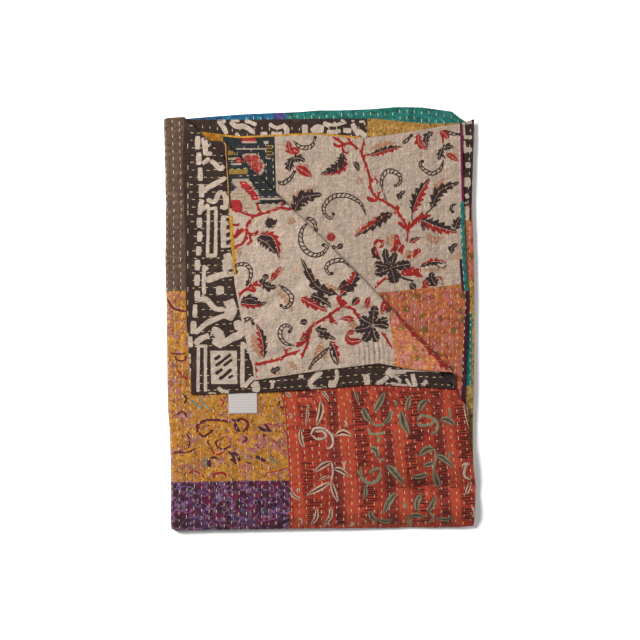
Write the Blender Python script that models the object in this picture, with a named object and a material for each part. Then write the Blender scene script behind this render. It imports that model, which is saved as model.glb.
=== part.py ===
"""A kantha quilt folded to eight layers, with the top pair's far right corner turned back.

One flat slab of cloth is cut across at every fold and then folded as a person folds it: in half along
its length, the doubled cloth in half and in half again, and last the corner. X runs across the folded
quilt, Y along it towards the open edges, and Z up from the surface it lies on. Sizes are in millimetres.
"""

import math

import bmesh
import bpy
import numpy as np

MM = 0.001

# The sheet, and how its layers stack.
SHEET_LENGTH = 2286.0
SHEET_WIDTH = 1524.0
CLOTH = 2.2
PITCH = 3.4
WIDE = SHEET_LENGTH / 4
DEEP = SHEET_WIDTH / 2
HALF = CLOTH / 2
UNDERSIDE = PITCH / 2 - HALF

# The fold at the near edge joins the two plies of the doubled cloth.
HEM_ARC = math.pi / 4 * PITCH
HEM_REACH = PITCH / 2 + HALF
# The three folds of the doubled cloth, in the order of its length. Columns: the side it lies on, the height
# of its middle, its radius, the share of that it reaches sideways, whether the outer ply is on its outside,
# and whether the cloth climbs round it.
FOLDS = (
    (-1, 4 * PITCH, PITCH, 1.0, -1, -1),
    (1, 2 * PITCH, PITCH, 1.0, 1, -1),
    (-1, 4 * PITCH, 3 * PITCH, 0.62, 1, 1),
)

# Layer 0 is the top one. Far edges are measured at these places across the quilt.
ACROSS = (-290, -150, 0, 105, 150, 200, 250, 290)
FAR_EDGE = {
    0: (380, 386, 380, 379, 378, 375, 371, 369),
    1: (344, 333, 324, 314, 306, 296, 282, 277),
    2: (362, 346, 353, 344, 349, 357, 366, 370),
    3: (379, 378, 380, 380, 375, 371, 370, 380),
    4: (378, 389, 395, 399, 403, 402, 397, 375),
    5: (376, 385, 397, 397, 398, 396, 390, 375),
    6: (375, 386, 395, 395, 394, 392, 386, 373),
    7: (377, 384, 395, 394, 393, 391, 386, 371),
}
# The layers on the outer and the inner ply, and the near folds, for each pass of the folding.
OUTER_LAYERS = (3, 4, 7, 0)
INNER_LAYERS = (2, 5, 6, 1)
NEAR_FOLD = (
    (-392, -390, -389, -389, -390, -389, -388, -386),
    (-394, -393, -390, -389, -388, -388, -389, -387),
    (-396, -394, -392, -391, -391, -390, -389, -388),
    (-398, -396, -394, -394, -393, -393, -392, -390),
)
# Side edges are measured at these places along the quilt, from the near edge to the far one.
ALONG = (-392, -316, -225, -165, -138, 37, 110, 224, 380)
RIGHT_EDGE = {
    0: (290, 293, 281, 277, 257, 248, 254, 262, 267),
    1: (286, 287, 276, 266, 258, 248, 236, 247, 267),
    2: (281, 284, 281, 274, 269, 280, 270, 267, 265),
    3: (281, 289, 288, 289, 290, 291, 290, 286, 291),
}
RIGHT_FOLD = (284, 288, 289, 288, 287, 283, 282, 281, 283)
LEFT_FOLD = (-283, -282, -284, -288, -289, -291, -293, -292, -296)
LEFT_INNER_INSET = 9.0

# The turned corner: its hinge line, and how each of the two layers bends about it.
HINGE_POINT = (-251.0, 373.0)
HINGE_SLANT = math.radians(-45.0)
TOP_BEND = 2.2
UNDER_LAG = 9.5
UNDER_SPREAD = 1.8
UNDER_BOW, BOW_REACH = 5.0, 70.0
HINGE_LENGTH = 740.0
BEND_CUTS = 6

HINGE_DIRECTION = np.array([math.cos(HINGE_SLANT), math.sin(HINGE_SLANT)])
HINGE_ACROSS = np.array([-math.sin(HINGE_SLANT), math.cos(HINGE_SLANT)])
# For each turned layer: its height, where its bend starts, the bend's radius and spread, and its bow.
TURNED_LAYERS = (
    (7.5 * PITCH, 0.0, TOP_BEND, 1.0, 0.0),
    (6.5 * PITCH, UNDER_LAG, TOP_BEND + PITCH, UNDER_SPREAD, UNDER_BOW),
)

# Where the stack is pressed thinner or stands fuller, as shares of its height, and how far that reaches.
NEAR_PRESS, NEAR_PRESS_REACH = 0.24, 34.0
FAR_PRESS, FAR_PRESS_REACH = 0.10, 60.0
SIDE_PRESS, SIDE_PRESS_REACH = 0.12, 30.0
SWELL, SWELL_ACROSS, SWELL_ALONG = 0.025, 330.0, 410.0
RIDGE_SWELL, RIDGE_REACH = 0.08, 28.0
BOX = (-296.0, 293.0, -396.0, 396.0)
# The folded quilt's middle before it is set over the origin.
MIDDLE = (-1.78, 2.32)

# The label: its width, length and thickness, the gap under it, and its place on the top layer.
LABEL_WIDTH, LABEL_LENGTH, LABEL_THICK = 54.0, 47.0, 0.5
LABEL_GAP = 0.7
LABEL_CENTRE = (-145.5, -152.5)
LABEL_TURN = math.radians(0.6)

# How many stretches the flat sheet is cut into between its folds and round each of them.
PASS_CUTS = (8, 7, 7, 12)
PLY_CUTS = 12
FOLD_CUTS = 6
END_CROWD = 0.1

CLOTH_COLOUR = (0.24, 0.09, 0.05, 1.0)
LABEL_COLOUR = (0.52, 0.50, 0.51, 1.0)


def fold_arc(fold):
    """Half the length of cloth that goes round a fold of the doubled cloth."""
    _, _, radius, squash, _, _ = fold
    return math.pi / 2 * radius * (1 + squash) / 2


def fold_reach(fold):
    """How far a fold's outermost face is from its middle, sideways."""
    _, _, radius, squash, _, _ = fold
    return radius * squash + PITCH / 2 + HALF


def share(value, low, high):
    """How far a value has gone from low to high, held between 0 and 1."""
    return np.clip((value - low) / (high - low), 0, 1)


def eased(value, low, high):
    """The same, with a soft start and end."""
    part = share(value, low, high)
    return part * part * (3 - 2 * part)


def turn_round(distance, half_arc):
    """The angle round a fold, from -90 to 90 degrees, at a distance along the cloth from its middle."""
    return np.clip(distance / half_arc, -1, 1) * math.pi / 2


def between(rows, position):
    """Passes from one row of values to the next as the position goes from 0 to the last row."""
    rows = np.array(rows, float)
    low = np.clip(np.floor(position).astype(int), 0, len(rows) - 2)
    column = np.arange(len(position))
    part = position - low
    return rows[low, column] * (1 - part) + rows[low + 1, column] * part


def read(table, places, at):
    """A table's rows, each read at the same places."""
    return [np.interp(at, places, row) for row in table]


def folded(s, t, w):
    """Folds the flat sheet: s along its length, t across it and w through its thickness, as arrays.

    The section of the doubled cloth is two straight runs joined by a half circle at the near edge. It is
    carried along four straight passes joined by three half folds, and stands at right angles to them.
    """
    near = turn_round(t - DEEP, HEM_ARC)
    ply = near / math.pi + 0.5
    outward = PITCH / 2 + w
    height = -outward * np.sin(near)
    to_far = share(np.abs(t - DEEP), HEM_ARC, DEEP)

    step = np.clip(s // WIDE, 0, 3).astype(int)
    run = s - step * WIDE
    from_left = np.where(step % 2 == 1, run, WIDE - run)
    rough_x = ACROSS[0] + (ACROSS[-1] - ACROSS[0]) * from_left / WIDE
    rough_y = ALONG[0] + (ALONG[-1] - ALONG[0]) * to_far
    arcs = [fold_arc(fold) for fold in FOLDS]
    turns = [turn_round(s - WIDE * (i + 1), arc) for i, arc in enumerate(arcs)]
    pass_at = sum(turn / math.pi + 0.5 for turn in turns)

    # Sideways: each pass lies between the middle of its left fold and its right fold or open edge.
    left = np.interp(rough_y, ALONG, LEFT_FOLD)
    inner = step < 2
    left_middle = left + np.where(inner, LEFT_INNER_INSET + fold_reach(FOLDS[0]), fold_reach(FOLDS[2]))
    left_arc = np.where(inner, arcs[0], arcs[2])
    edges = read([RIGHT_EDGE[layer] for layer in (3, 2, 0, 1)], ALONG, rough_y)
    open_edge = np.where(step == 0, between(edges[:2], ply), between(edges[2:], ply))
    right_fold = np.interp(rough_y, ALONG, RIGHT_FOLD) - fold_reach(FOLDS[1])
    at_fold = (step == 1) | (step == 2)
    right_middle = np.where(at_fold, right_fold, open_edge)
    right_arc = np.where(at_fold, arcs[1], 0)
    x = left_middle + (right_middle - left_middle) * share(from_left, left_arc, WIDE - right_arc)

    # Up: every height follows from the nearest fold.
    nearest = np.clip(np.round(s / WIDE).astype(int), 1, 3) - 1
    side, middle, radius, squash, outside, climb = np.array(FOLDS)[nearest].T
    turn = np.choose(nearest, turns)
    x = x + side * (radius * squash + outside * height) * np.cos(turn)
    z = middle + climb * (radius + outside * height) * np.sin(turn)

    # Along: from the near fold to the layer's far edge.
    outer_far = between(read([FAR_EDGE[layer] for layer in OUTER_LAYERS], ACROSS, rough_x), pass_at)
    inner_far = between(read([FAR_EDGE[layer] for layer in INNER_LAYERS], ACROSS, rough_x), pass_at)
    far = between([outer_far, inner_far], ply)
    near_middle = between(read(NEAR_FOLD, ACROSS, rough_x), pass_at) + HEM_REACH
    y = near_middle + (far - near_middle) * to_far - outward * np.cos(near)
    return np.stack([x, y, z], axis=1)


def hinge_place(points):
    """How far points lie beyond the hinge line, towards the far right corner, and along it as a share."""
    offset = points[:, :2] - HINGE_POINT
    return offset @ HINGE_ACROSS, np.clip(offset @ HINGE_DIRECTION / HINGE_LENGTH, 0, 1)


def bend_arc(bend, spread):
    """The length of cloth that goes round a bend of the turned corner."""
    return math.pi * bend * math.sqrt((spread**2 + 1) / 2)


def turned(points):
    """Turns the corner of the top two layers back about the hinge line.

    Each layer runs flat to its own bend, goes round a half circle, spread sideways on the lower layer, and
    lies back flat. Both bends have their middle at one height, so that the layers stay one pitch apart. The
    lower layer's bend bows outwards along its length.
    """
    beyond, _ = hinge_place(points)
    points = points.copy()
    for layer_middle, start, bend, spread, bow in TURNED_LAYERS:
        off = points[:, 2] - layer_middle
        layer = np.abs(off) < PITCH / 2
        bent = layer & (beyond > start)
        past = beyond[bent] - start
        arc = bend_arc(bend, spread)
        angle = np.clip(past / arc, 0, 1) * math.pi
        reach = (bend * spread - off[bent]) * np.sin(angle) - np.maximum(past - arc, 0)
        points[bent, :2] += (start + reach - beyond[bent])[:, None] * HINGE_ACROSS
        points[bent, 2] = layer_middle + bend - (bend - off[bent]) * np.cos(angle)
        where, along = hinge_place(points[layer])
        bowed = bow * np.sin(math.pi * along) * np.exp(-((where / BOW_REACH) ** 2))
        points[layer, :2] += bowed[:, None] * HINGE_ACROSS
    return points


def settled(points):
    """Presses the stack thinner at its edges, lets it swell along the ridge and in soft rises, and sets it
    over the origin with its underside at Z 0."""
    x, y = points[:, 0], points[:, 1]
    left, right, near, far = BOX
    beyond, _ = hinge_place(points)
    ridge = UNDER_LAG + UNDER_SPREAD * (TOP_BEND + PITCH)
    fullness = (
        1
        - NEAR_PRESS * (1 - eased(y - near, 0, NEAR_PRESS_REACH))
        - FAR_PRESS * (1 - eased(far - y, 0, FAR_PRESS_REACH))
        - SIDE_PRESS * (1 - eased(np.minimum(x - left, right - x), 0, SIDE_PRESS_REACH))
        + SWELL * np.sin(2 * math.pi * x / SWELL_ACROSS) * np.sin(2 * math.pi * y / SWELL_ALONG)
        + RIDGE_SWELL * np.exp(-(((beyond - ridge) / RIDGE_REACH) ** 2))
    )
    return np.stack([x - MIDDLE[0], y - MIDDLE[1], (points[:, 2] - UNDERSIDE) * fullness], axis=1)


def cut(bm, faces, point, normal):
    """Cuts faces of a mesh across along a plane."""
    edges = {edge for face in faces for edge in face.edges}
    verts = {vert for face in faces for vert in face.verts}
    bmesh.ops.bisect_plane(
        bm, geom=list(faces) + list(edges) + list(verts), plane_co=point, plane_no=normal, dist=1e-4
    )


def stations(start, end, count, crowd=0.0):
    """Places from start to end, evenly spaced or crowded towards both ends."""
    part = np.linspace(0, 1, count + 1)
    return list(start + (end - start) * (part - crowd * np.sin(2 * math.pi * part)))


def length_cuts():
    """Places to cut the sheet along its length: evenly in each pass, and closely round each fold."""
    places, start = [], 0.0
    for number, fold in enumerate(FOLDS):
        middle, arc = WIDE * (number + 1), fold_arc(fold)
        places += stations(start, middle - arc, PASS_CUTS[number], END_CROWD)
        places += stations(middle - arc, middle + arc, FOLD_CUTS)
        start = middle + arc
    return sorted(set(places + stations(start, SHEET_LENGTH, PASS_CUTS[-1], END_CROWD)))


def width_cuts():
    """Places to cut the sheet across: evenly in each ply, and closely round the near fold."""
    outer = stations(0, DEEP - HEM_ARC, PLY_CUTS, END_CROWD)
    hem = stations(DEEP - HEM_ARC, DEEP + HEM_ARC, FOLD_CUTS)
    inner = stations(DEEP + HEM_ARC, SHEET_WIDTH, PLY_CUTS, END_CROWD)
    return sorted(set(outer + hem + inner))


def co_array(bm):
    """The places of a mesh's points as an array."""
    return np.array([vert.co[:] for vert in bm.verts])


def move_to(bm, places):
    """Moves a mesh's points."""
    for vert, place in zip(bm.verts, places):
        vert.co = place


def flat_slab(length, width, thick):
    """A box from the origin along +X and +Y, its thickness centred on Z 0."""
    bm = bmesh.new()
    bmesh.ops.create_cube(bm, size=1)
    move_to(bm, (co_array(bm) + (0.5, 0.5, 0)) * (length, width, thick))
    return bm


def cloth_material(name, colour, roughness):
    """A plain woven finish."""
    material = bpy.data.materials.new(name)
    material.use_nodes = True
    shader = material.node_tree.nodes["Principled BSDF"]
    shader.inputs["Base Color"].default_value = colour
    shader.inputs["Roughness"].default_value = roughness
    shader.inputs["Metallic"].default_value = 0.0
    return material


def to_object(bm, name, material, collection):
    """Makes an object of a mesh that is in millimetres."""
    bmesh.ops.scale(bm, vec=(MM, MM, MM), verts=bm.verts)
    bmesh.ops.recalc_face_normals(bm, faces=bm.faces)
    mesh = bpy.data.meshes.new(name)
    bm.to_mesh(mesh)
    bm.free()
    mesh.materials.append(material)
    made = bpy.data.objects.new(name, mesh)
    collection.objects.link(made)
    return made


def quilt(collection):
    """The whole sheet, folded, with its corner turned back."""
    bm = flat_slab(SHEET_LENGTH, SHEET_WIDTH, CLOTH)
    for place in length_cuts()[1:-1]:
        cut(bm, bm.faces[:], (place, 0, 0), (1, 0, 0))
    for place in width_cuts()[1:-1]:
        cut(bm, bm.faces[:], (0, place, 0), (0, 1, 0))
    move_to(bm, folded(*co_array(bm).T))

    # Each of the two turned layers is cut along its own bend before it is turned.
    for layer_middle, start, bend, spread, _ in TURNED_LAYERS:
        for place in stations(start, start + bend_arc(bend, spread), BEND_CUTS):
            faces = [f for f in bm.faces if all(abs(v.co.z - layer_middle) < PITCH / 2 for v in f.verts)]
            cut(bm, faces, (*(HINGE_POINT + place * HINGE_ACROSS), 0), (*HINGE_ACROSS, 0))
    move_to(bm, settled(turned(co_array(bm))))
    bmesh.ops.triangulate(bm, faces=bm.faces)
    return to_object(bm, "quilt", cloth_material("quilted silk and cotton", CLOTH_COLOUR, 0.8), collection)


def care_label(collection):
    """A bare satin label that comes out from under the turned corner and lies on the top layer."""
    bm = flat_slab(LABEL_WIDTH, LABEL_LENGTH, LABEL_THICK)
    for place in stations(0, LABEL_WIDTH, 4)[1:-1]:
        cut(bm, bm.faces[:], (place, 0, 0), (1, 0, 0))
    for place in stations(0, LABEL_LENGTH, 4)[1:-1]:
        cut(bm, bm.faces[:], (0, place, 0), (0, 1, 0))
    flat = co_array(bm) - (LABEL_WIDTH / 2, LABEL_LENGTH / 2, -LABEL_THICK / 2)
    cosine, sine = math.cos(LABEL_TURN), math.sin(LABEL_TURN)
    x = LABEL_CENTRE[0] + flat[:, 0] * cosine - flat[:, 1] * sine
    y = LABEL_CENTRE[1] + flat[:, 0] * sine + flat[:, 1] * cosine
    z = 7.5 * PITCH + HALF + LABEL_GAP + flat[:, 2]
    move_to(bm, settled(np.stack([x, y, z], axis=1)))
    bmesh.ops.triangulate(bm, faces=bm.faces)
    return to_object(bm, "care_label", cloth_material("satin label", LABEL_COLOUR, 0.5), collection)


def main():
    for old in list(bpy.data.objects):
        bpy.data.objects.remove(old, do_unlink=True)
    collection = bpy.data.collections.new("kantha quilt")
    bpy.context.scene.collection.children.link(collection)
    quilt(collection)
    care_label(collection)


main()
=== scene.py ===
"""The looks of a kantha quilt that lies folded to eight layers, its top pair turned back at one corner.

The quilt is one sheet of pieced prints, quilted all over in rows of running stitches. It is shown as three
lengths of that sheet, each a thick cloth laid on the folds of the CAD solid, with its prints and stitches
carried on the same folds. Sizes are in millimetres, and meshes are written in metres.
"""

import math

import bpy
import numpy as np
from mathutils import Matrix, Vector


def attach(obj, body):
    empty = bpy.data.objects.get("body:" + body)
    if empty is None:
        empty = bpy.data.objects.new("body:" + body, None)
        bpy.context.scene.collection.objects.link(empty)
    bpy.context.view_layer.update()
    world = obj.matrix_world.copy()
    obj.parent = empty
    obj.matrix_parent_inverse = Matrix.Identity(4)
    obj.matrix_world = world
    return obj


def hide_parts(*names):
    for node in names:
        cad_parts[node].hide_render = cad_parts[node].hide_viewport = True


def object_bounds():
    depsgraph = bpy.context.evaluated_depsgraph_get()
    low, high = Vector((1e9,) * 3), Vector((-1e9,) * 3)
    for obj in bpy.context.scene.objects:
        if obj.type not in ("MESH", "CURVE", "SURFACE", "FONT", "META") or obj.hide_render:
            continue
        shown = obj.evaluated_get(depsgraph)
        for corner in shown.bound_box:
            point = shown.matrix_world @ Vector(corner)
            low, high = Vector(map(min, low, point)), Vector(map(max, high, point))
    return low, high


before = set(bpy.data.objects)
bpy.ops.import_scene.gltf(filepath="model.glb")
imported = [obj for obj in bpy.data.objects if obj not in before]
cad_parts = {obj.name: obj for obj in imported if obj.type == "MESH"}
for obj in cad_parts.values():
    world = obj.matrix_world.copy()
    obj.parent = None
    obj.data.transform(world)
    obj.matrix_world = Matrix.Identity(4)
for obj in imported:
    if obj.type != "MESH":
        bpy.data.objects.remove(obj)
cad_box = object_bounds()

MM = 0.001
# Whatever is uneven is drawn from this, in the order of the file.
DRAW = np.random.default_rng(7)

# ---------------------------------------------------------------------------------------------------------
# The fold: the flat sheet and the way it lies, in the sizes of the CAD solid.

SHEET_LENGTH = 2286.0
SHEET_WIDTH = 1524.0
CLOTH = 2.2
PITCH = 3.4
WIDE = SHEET_LENGTH / 4
DEEP = SHEET_WIDTH / 2
HALF = CLOTH / 2
UNDERSIDE = PITCH / 2 - HALF

HEM_ARC = math.pi / 4 * PITCH
HEM_REACH = PITCH / 2 + HALF
# Columns: side, height of the middle, radius, sideways share of it, outer ply outside, cloth climbs.
FOLDS = (
    (-1, 4 * PITCH, PITCH, 1.0, -1, -1),
    (1, 2 * PITCH, PITCH, 1.0, 1, -1),
    (-1, 4 * PITCH, 3 * PITCH, 0.62, 1, 1),
)

# Far edges of the layers, the top one first, at these places across.
ACROSS = (-290, -150, 0, 105, 150, 200, 264, 274, 290)
FAR_EDGE = (
    (380, 386, 380, 379, 378, 375, 370, 370, 369),
    (344, 333, 324, 314, 306, 296, 280, 279, 277),
    (362, 346, 353, 344, 349, 357, 367, 368, 370),
    (379, 378, 380, 380, 375, 371, 371, 374, 380),
    (378, 389, 395, 399, 403, 402, 393, 376, 373),
    (376, 385, 397, 397, 398, 396, 389, 376, 373),
    (375, 386, 395, 395, 394, 392, 386, 374, 372),
    (377, 384, 395, 394, 393, 391, 385, 374, 371),
)
OUTER_LAYERS = (3, 4, 7, 0)
INNER_LAYERS = (2, 5, 6, 1)
NEAR_FOLD = (
    (-392, -390, -389, -389, -390, -389, -388, -387, -386),
    (-394, -393, -390, -389, -388, -388, -389, -388, -387),
    (-396, -394, -392, -391, -391, -390, -389, -389, -388),
    (-398, -396, -394, -394, -393, -393, -392, -391, -390),
)
# Side edges at these places along the quilt, near to far.
ALONG = (-392, -316, -225, -165, -138, 37, 110, 224, 380)
RIGHT_EDGE = (
    (290, 293, 281, 277, 257, 248, 254, 262, 267),
    (286, 287, 276, 266, 258, 248, 236, 247, 267),
    (281, 284, 281, 274, 273, 281, 275, 271, 267),
    (281, 289, 288, 289, 290, 291, 290, 286, 291),
)
RIGHT_FOLD = (284, 288, 289, 288, 287, 283, 282, 281, 283)
LEFT_FOLD = (-283, -282, -284, -288, -289, -291, -293, -292, -296)
LEFT_INNER_INSET = 9.0

HINGE_POINT = (-251.0, 373.0)
HINGE_SLANT = math.radians(-45.0)
TOP_BEND = 2.2
UNDER_LAG = 9.5
UNDER_SPREAD = 1.8
UNDER_BOW, BOW_REACH = 5.0, 70.0
HINGE_LENGTH = 740.0
HINGE_DIRECTION = np.array([math.cos(HINGE_SLANT), math.sin(HINGE_SLANT)])
HINGE_ACROSS = np.array([-math.sin(HINGE_SLANT), math.cos(HINGE_SLANT)])
# Columns: height of the layer, where its bend starts, the bend's radius and spread, its bow.
TURNED_LAYERS = (
    (7.5 * PITCH, 0.0, TOP_BEND, 1.0, 0.0),
    (6.5 * PITCH, UNDER_LAG, TOP_BEND + PITCH, UNDER_SPREAD, UNDER_BOW),
)

NEAR_PRESS, NEAR_PRESS_REACH = 0.24, 34.0
FAR_PRESS, FAR_PRESS_REACH = 0.10, 60.0
SIDE_PRESS, SIDE_PRESS_REACH = 0.12, 30.0
SWELL, SWELL_ACROSS, SWELL_ALONG = 0.025, 330.0, 410.0
RIDGE_SWELL, RIDGE_REACH = 0.08, 28.0
BOX = (-296.0, 293.0, -396.0, 396.0)
# How gently the underside flattens where it meets the floor.
FLOOR_SOFT = 0.5
MIDDLE = (-1.78, 2.32)
# The point of the folding that drawn places are measured from, which the camera looks straight down on.
DRAWN_FROM = (-0.65, -0.18)

# Soft creases pressed in by hand. Columns: middle across and along, half length and half width of the
# trough, its turn in degrees, how deep it is as a share of the height (a ridge is negative), and the width
# of its near side as a share of its far side.
CREASES = (
    (205.0, -318.0, 104.0, 17.0, 0.0, 0.52, 1.5),
    (205.0, -317.0, 92.0, 3.0, 0.0, 0.04, 1.0),
    (205.0, -268.0, 100.0, 22.0, 0.0, -0.07, 1.0),
    (195.0, -352.0, 120.0, 14.0, 0.0, -0.07, 1.0),
    (40.0, -300.0, 90.0, 13.0, 3.0, 0.11, 0.7),
    (-60.0, -354.0, 150.0, 12.0, 2.0, 0.1, 1.0),
    (0.0, -400.0, 330.0, 18.0, 0.0, 0.22, 1.0),
    (190.0, -396.0, 125.0, 24.0, 0.0, 0.3, 1.0),
    (-268.0, -60.0, 9.0, 60.0, 0.0, 0.08, 1.0),
    (120.0, 262.0, 12.0, 70.0, 24.0, 0.12, 1.0),
    (225.0, 120.0, 11.0, 90.0, -8.0, 0.1, 1.0),
    (150.0, 120.0, 12.0, 80.0, 20.0, 0.1, 1.0),
    (-80.0, 40.0, 100.0, 12.0, 40.0, 0.1, 1.0),
    (-20.0, 90.0, 120.0, 10.0, -44.0, 0.1, 1.0),
    (30.0, 124.0, 260.0, 12.0, -45.0, 0.09, 1.6),
    (-150.0, -215.0, 120.0, 11.0, 6.0, 0.1, 1.0),
    (130.0, -200.0, 90.0, 12.0, 4.0, 0.12, 1.0),
    (255.0, -150.0, 9.0, 60.0, 10.0, 0.1, 1.0),
    (90.0, -70.0, 50.0, 14.0, -50.0, 0.1, 1.0),
    (-60.0, -60.0, 80.0, 11.0, 18.0, 0.1, 1.0),
    (60.0, 180.0, 90.0, 11.0, -20.0, 0.1, 1.0),
)

# ---------------------------------------------------------------------------------------------------------
# The quilting: stitch rows along the sheet's width, and how the cloth puckers between them.

ROWS_ACROSS = 41
ROW = WIDE / ROWS_ACROSS
# How far a row of stitches pulls each side of the cloth in, and the share of that left a quarter row away.
ROW_PINCH, PINCH_QUARTER = 0.58, 0.2
# The cloth's small unevenness: its usual height, and the number and lengths of the waves that make it. The
# spread, near the square root of two, brings the sum of the waves to that height.
CRINKLE, CRINKLE_SPREAD = 0.26, 1.4
CRINKLE_WAVES = 14
CRINKLE_LENGTHS = (24.0, 70.0)
HEM_BAND = 4.5
# A hem is rounded over this width, and the round is cut off this far before its tip.
EDGE_ROUND, EDGE_BLUNT = 1.5, 0.2
# Short gathers where the floral cotton was eased into its seam: where on the flat sheet, how far they reach
# along and across it, how long and high each is, and how far the cloth is drawn down between them.
GATHER_MIDDLE, GATHER_REACH = (2266.0, 1270.0), (30.0, 34.0)
GATHER_LENGTH, GATHER_HEIGHT, GATHER_SUNK = 10.2, 2.7, 0.9


def fold_arc(fold):
    """Half the length of cloth that goes round a fold of the doubled cloth."""
    _, _, radius, squash, _, _ = fold
    return math.pi / 2 * radius * (1 + squash) / 2


def fold_reach(fold):
    """How far a fold's outermost face is from its middle, sideways."""
    _, _, radius, squash, _, _ = fold
    return radius * squash + PITCH / 2 + HALF


def share(value, low, high):
    """How far a value has gone from low to high, held between 0 and 1."""
    return np.clip((value - low) / (high - low), 0, 1)


def eased(value, low, high):
    """The same, with a soft start and end."""
    part = share(value, low, high)
    return part * part * (3 - 2 * part)


def turn_round(distance, half_arc):
    """The angle round a fold, from -90 to 90 degrees, at a distance along the cloth from its middle."""
    return np.clip(distance / half_arc, -1, 1) * math.pi / 2


def between(rows, position):
    """Passes from one row of values to the next as the position goes from 0 to the last row."""
    rows = np.array(rows, float)
    low = np.clip(np.floor(position).astype(int), 0, len(rows) - 2)
    column = np.arange(len(position))
    part = position - low
    return rows[low, column] * (1 - part) + rows[low + 1, column] * part


def read(table, layers, places, at):
    """The rows of a table for these layers, each read at the same places."""
    return [np.interp(at, places, table[layer]) for layer in layers]


def folded(s, t, w):
    """Folds the flat sheet: s along its length, t across it and w through its thickness, as arrays.

    The section of the doubled cloth is two straight runs joined by a half circle at the near edge. It is
    carried along four straight passes joined by three half folds, and stands at right angles to them.
    """
    near = turn_round(t - DEEP, HEM_ARC)
    ply = near / math.pi + 0.5
    outward = PITCH / 2 + w
    height = -outward * np.sin(near)
    to_far = share(np.abs(t - DEEP), HEM_ARC, DEEP)

    step = np.clip(s // WIDE, 0, 3).astype(int)
    run = s - step * WIDE
    from_left = np.where(step % 2 == 1, run, WIDE - run)
    rough_x = ACROSS[0] + (ACROSS[-1] - ACROSS[0]) * from_left / WIDE
    rough_y = ALONG[0] + (ALONG[-1] - ALONG[0]) * to_far
    arcs = [fold_arc(fold) for fold in FOLDS]
    turns = [turn_round(s - WIDE * (i + 1), arc) for i, arc in enumerate(arcs)]
    pass_at = sum(turn / math.pi + 0.5 for turn in turns)

    left = np.interp(rough_y, ALONG, LEFT_FOLD)
    inner = step < 2
    left_middle = left + np.where(inner, LEFT_INNER_INSET + fold_reach(FOLDS[0]), fold_reach(FOLDS[2]))
    left_arc = np.where(inner, arcs[0], arcs[2])
    edges = read(RIGHT_EDGE, (3, 2, 0, 1), ALONG, rough_y)
    open_edge = np.where(step == 0, between(edges[:2], ply), between(edges[2:], ply))
    right_fold = np.interp(rough_y, ALONG, RIGHT_FOLD) - fold_reach(FOLDS[1])
    at_fold = (step == 1) | (step == 2)
    right_middle = np.where(at_fold, right_fold, open_edge)
    right_arc = np.where(at_fold, arcs[1], 0)
    x = left_middle + (right_middle - left_middle) * share(from_left, left_arc, WIDE - right_arc)

    nearest = np.clip(np.round(s / WIDE).astype(int), 1, 3) - 1
    side, middle, radius, squash, outside, climb = np.array(FOLDS)[nearest].T
    turn = np.choose(nearest, turns)
    x = x + side * (radius * squash + outside * height) * np.cos(turn)
    z = middle + climb * (radius + outside * height) * np.sin(turn)

    outer_far = between(read(FAR_EDGE, OUTER_LAYERS, ACROSS, rough_x), pass_at)
    inner_far = between(read(FAR_EDGE, INNER_LAYERS, ACROSS, rough_x), pass_at)
    far = between([outer_far, inner_far], ply)
    near_middle = between(read(NEAR_FOLD, range(4), ACROSS, rough_x), pass_at) + HEM_REACH
    y = near_middle + (far - near_middle) * to_far - outward * np.cos(near)
    return np.stack([x, y, z], axis=1)


def hinge_place(points):
    """How far points lie beyond the hinge line, towards the far right corner, and along it as a share."""
    offset = points[:, :2] - HINGE_POINT
    return offset @ HINGE_ACROSS, np.clip(offset @ HINGE_DIRECTION / HINGE_LENGTH, 0, 1)


def bend_arc(bend, spread):
    """The length of cloth that goes round a bend of the turned corner."""
    return math.pi * bend * math.sqrt((spread**2 + 1) / 2)


def turned(points, s, t):
    """Turns the corner of the top two layers back: flat to its bend, round a half circle, and back flat."""
    beyond, _ = hinge_place(points)
    points = points.copy()
    for ply, (layer_middle, start, bend, spread, bow) in enumerate(TURNED_LAYERS):
        off = points[:, 2] - layer_middle
        layer = (s > 3 * WIDE) & ((t > DEEP) == ply)
        bent = layer & (beyond > start)
        past = beyond[bent] - start
        arc = bend_arc(bend, spread)
        angle = np.clip(past / arc, 0, 1) * math.pi
        reach = (bend * spread - off[bent]) * np.sin(angle) - np.maximum(past - arc, 0)
        points[bent, :2] += (start + reach - beyond[bent])[:, None] * HINGE_ACROSS
        points[bent, 2] = layer_middle + bend - (bend - off[bent]) * np.cos(angle)
        where, along = hinge_place(points[layer])
        bowed = bow * np.sin(math.pi * along) * np.exp(-((where / BOW_REACH) ** 2))
        points[layer, :2] += bowed[:, None] * HINGE_ACROSS
    return points


def creased(x, y):
    """How much the creases take off the height: each a bell curve on a turned ellipse, whose near side has
    its own width."""
    depth = np.zeros_like(x)
    for middle_x, middle_y, half_across, half_along, turn, deep, near_share in CREASES:
        angle = math.radians(turn)
        across = (x - middle_x) * math.cos(angle) + (y - middle_y) * math.sin(angle)
        along = (y - middle_y) * math.cos(angle) - (x - middle_x) * math.sin(angle)
        half = half_along * np.where(along < 0, near_share, 1.0)
        depth += deep * np.exp(-((across / half_across) ** 2) - (along / half) ** 2)
    return depth


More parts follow.
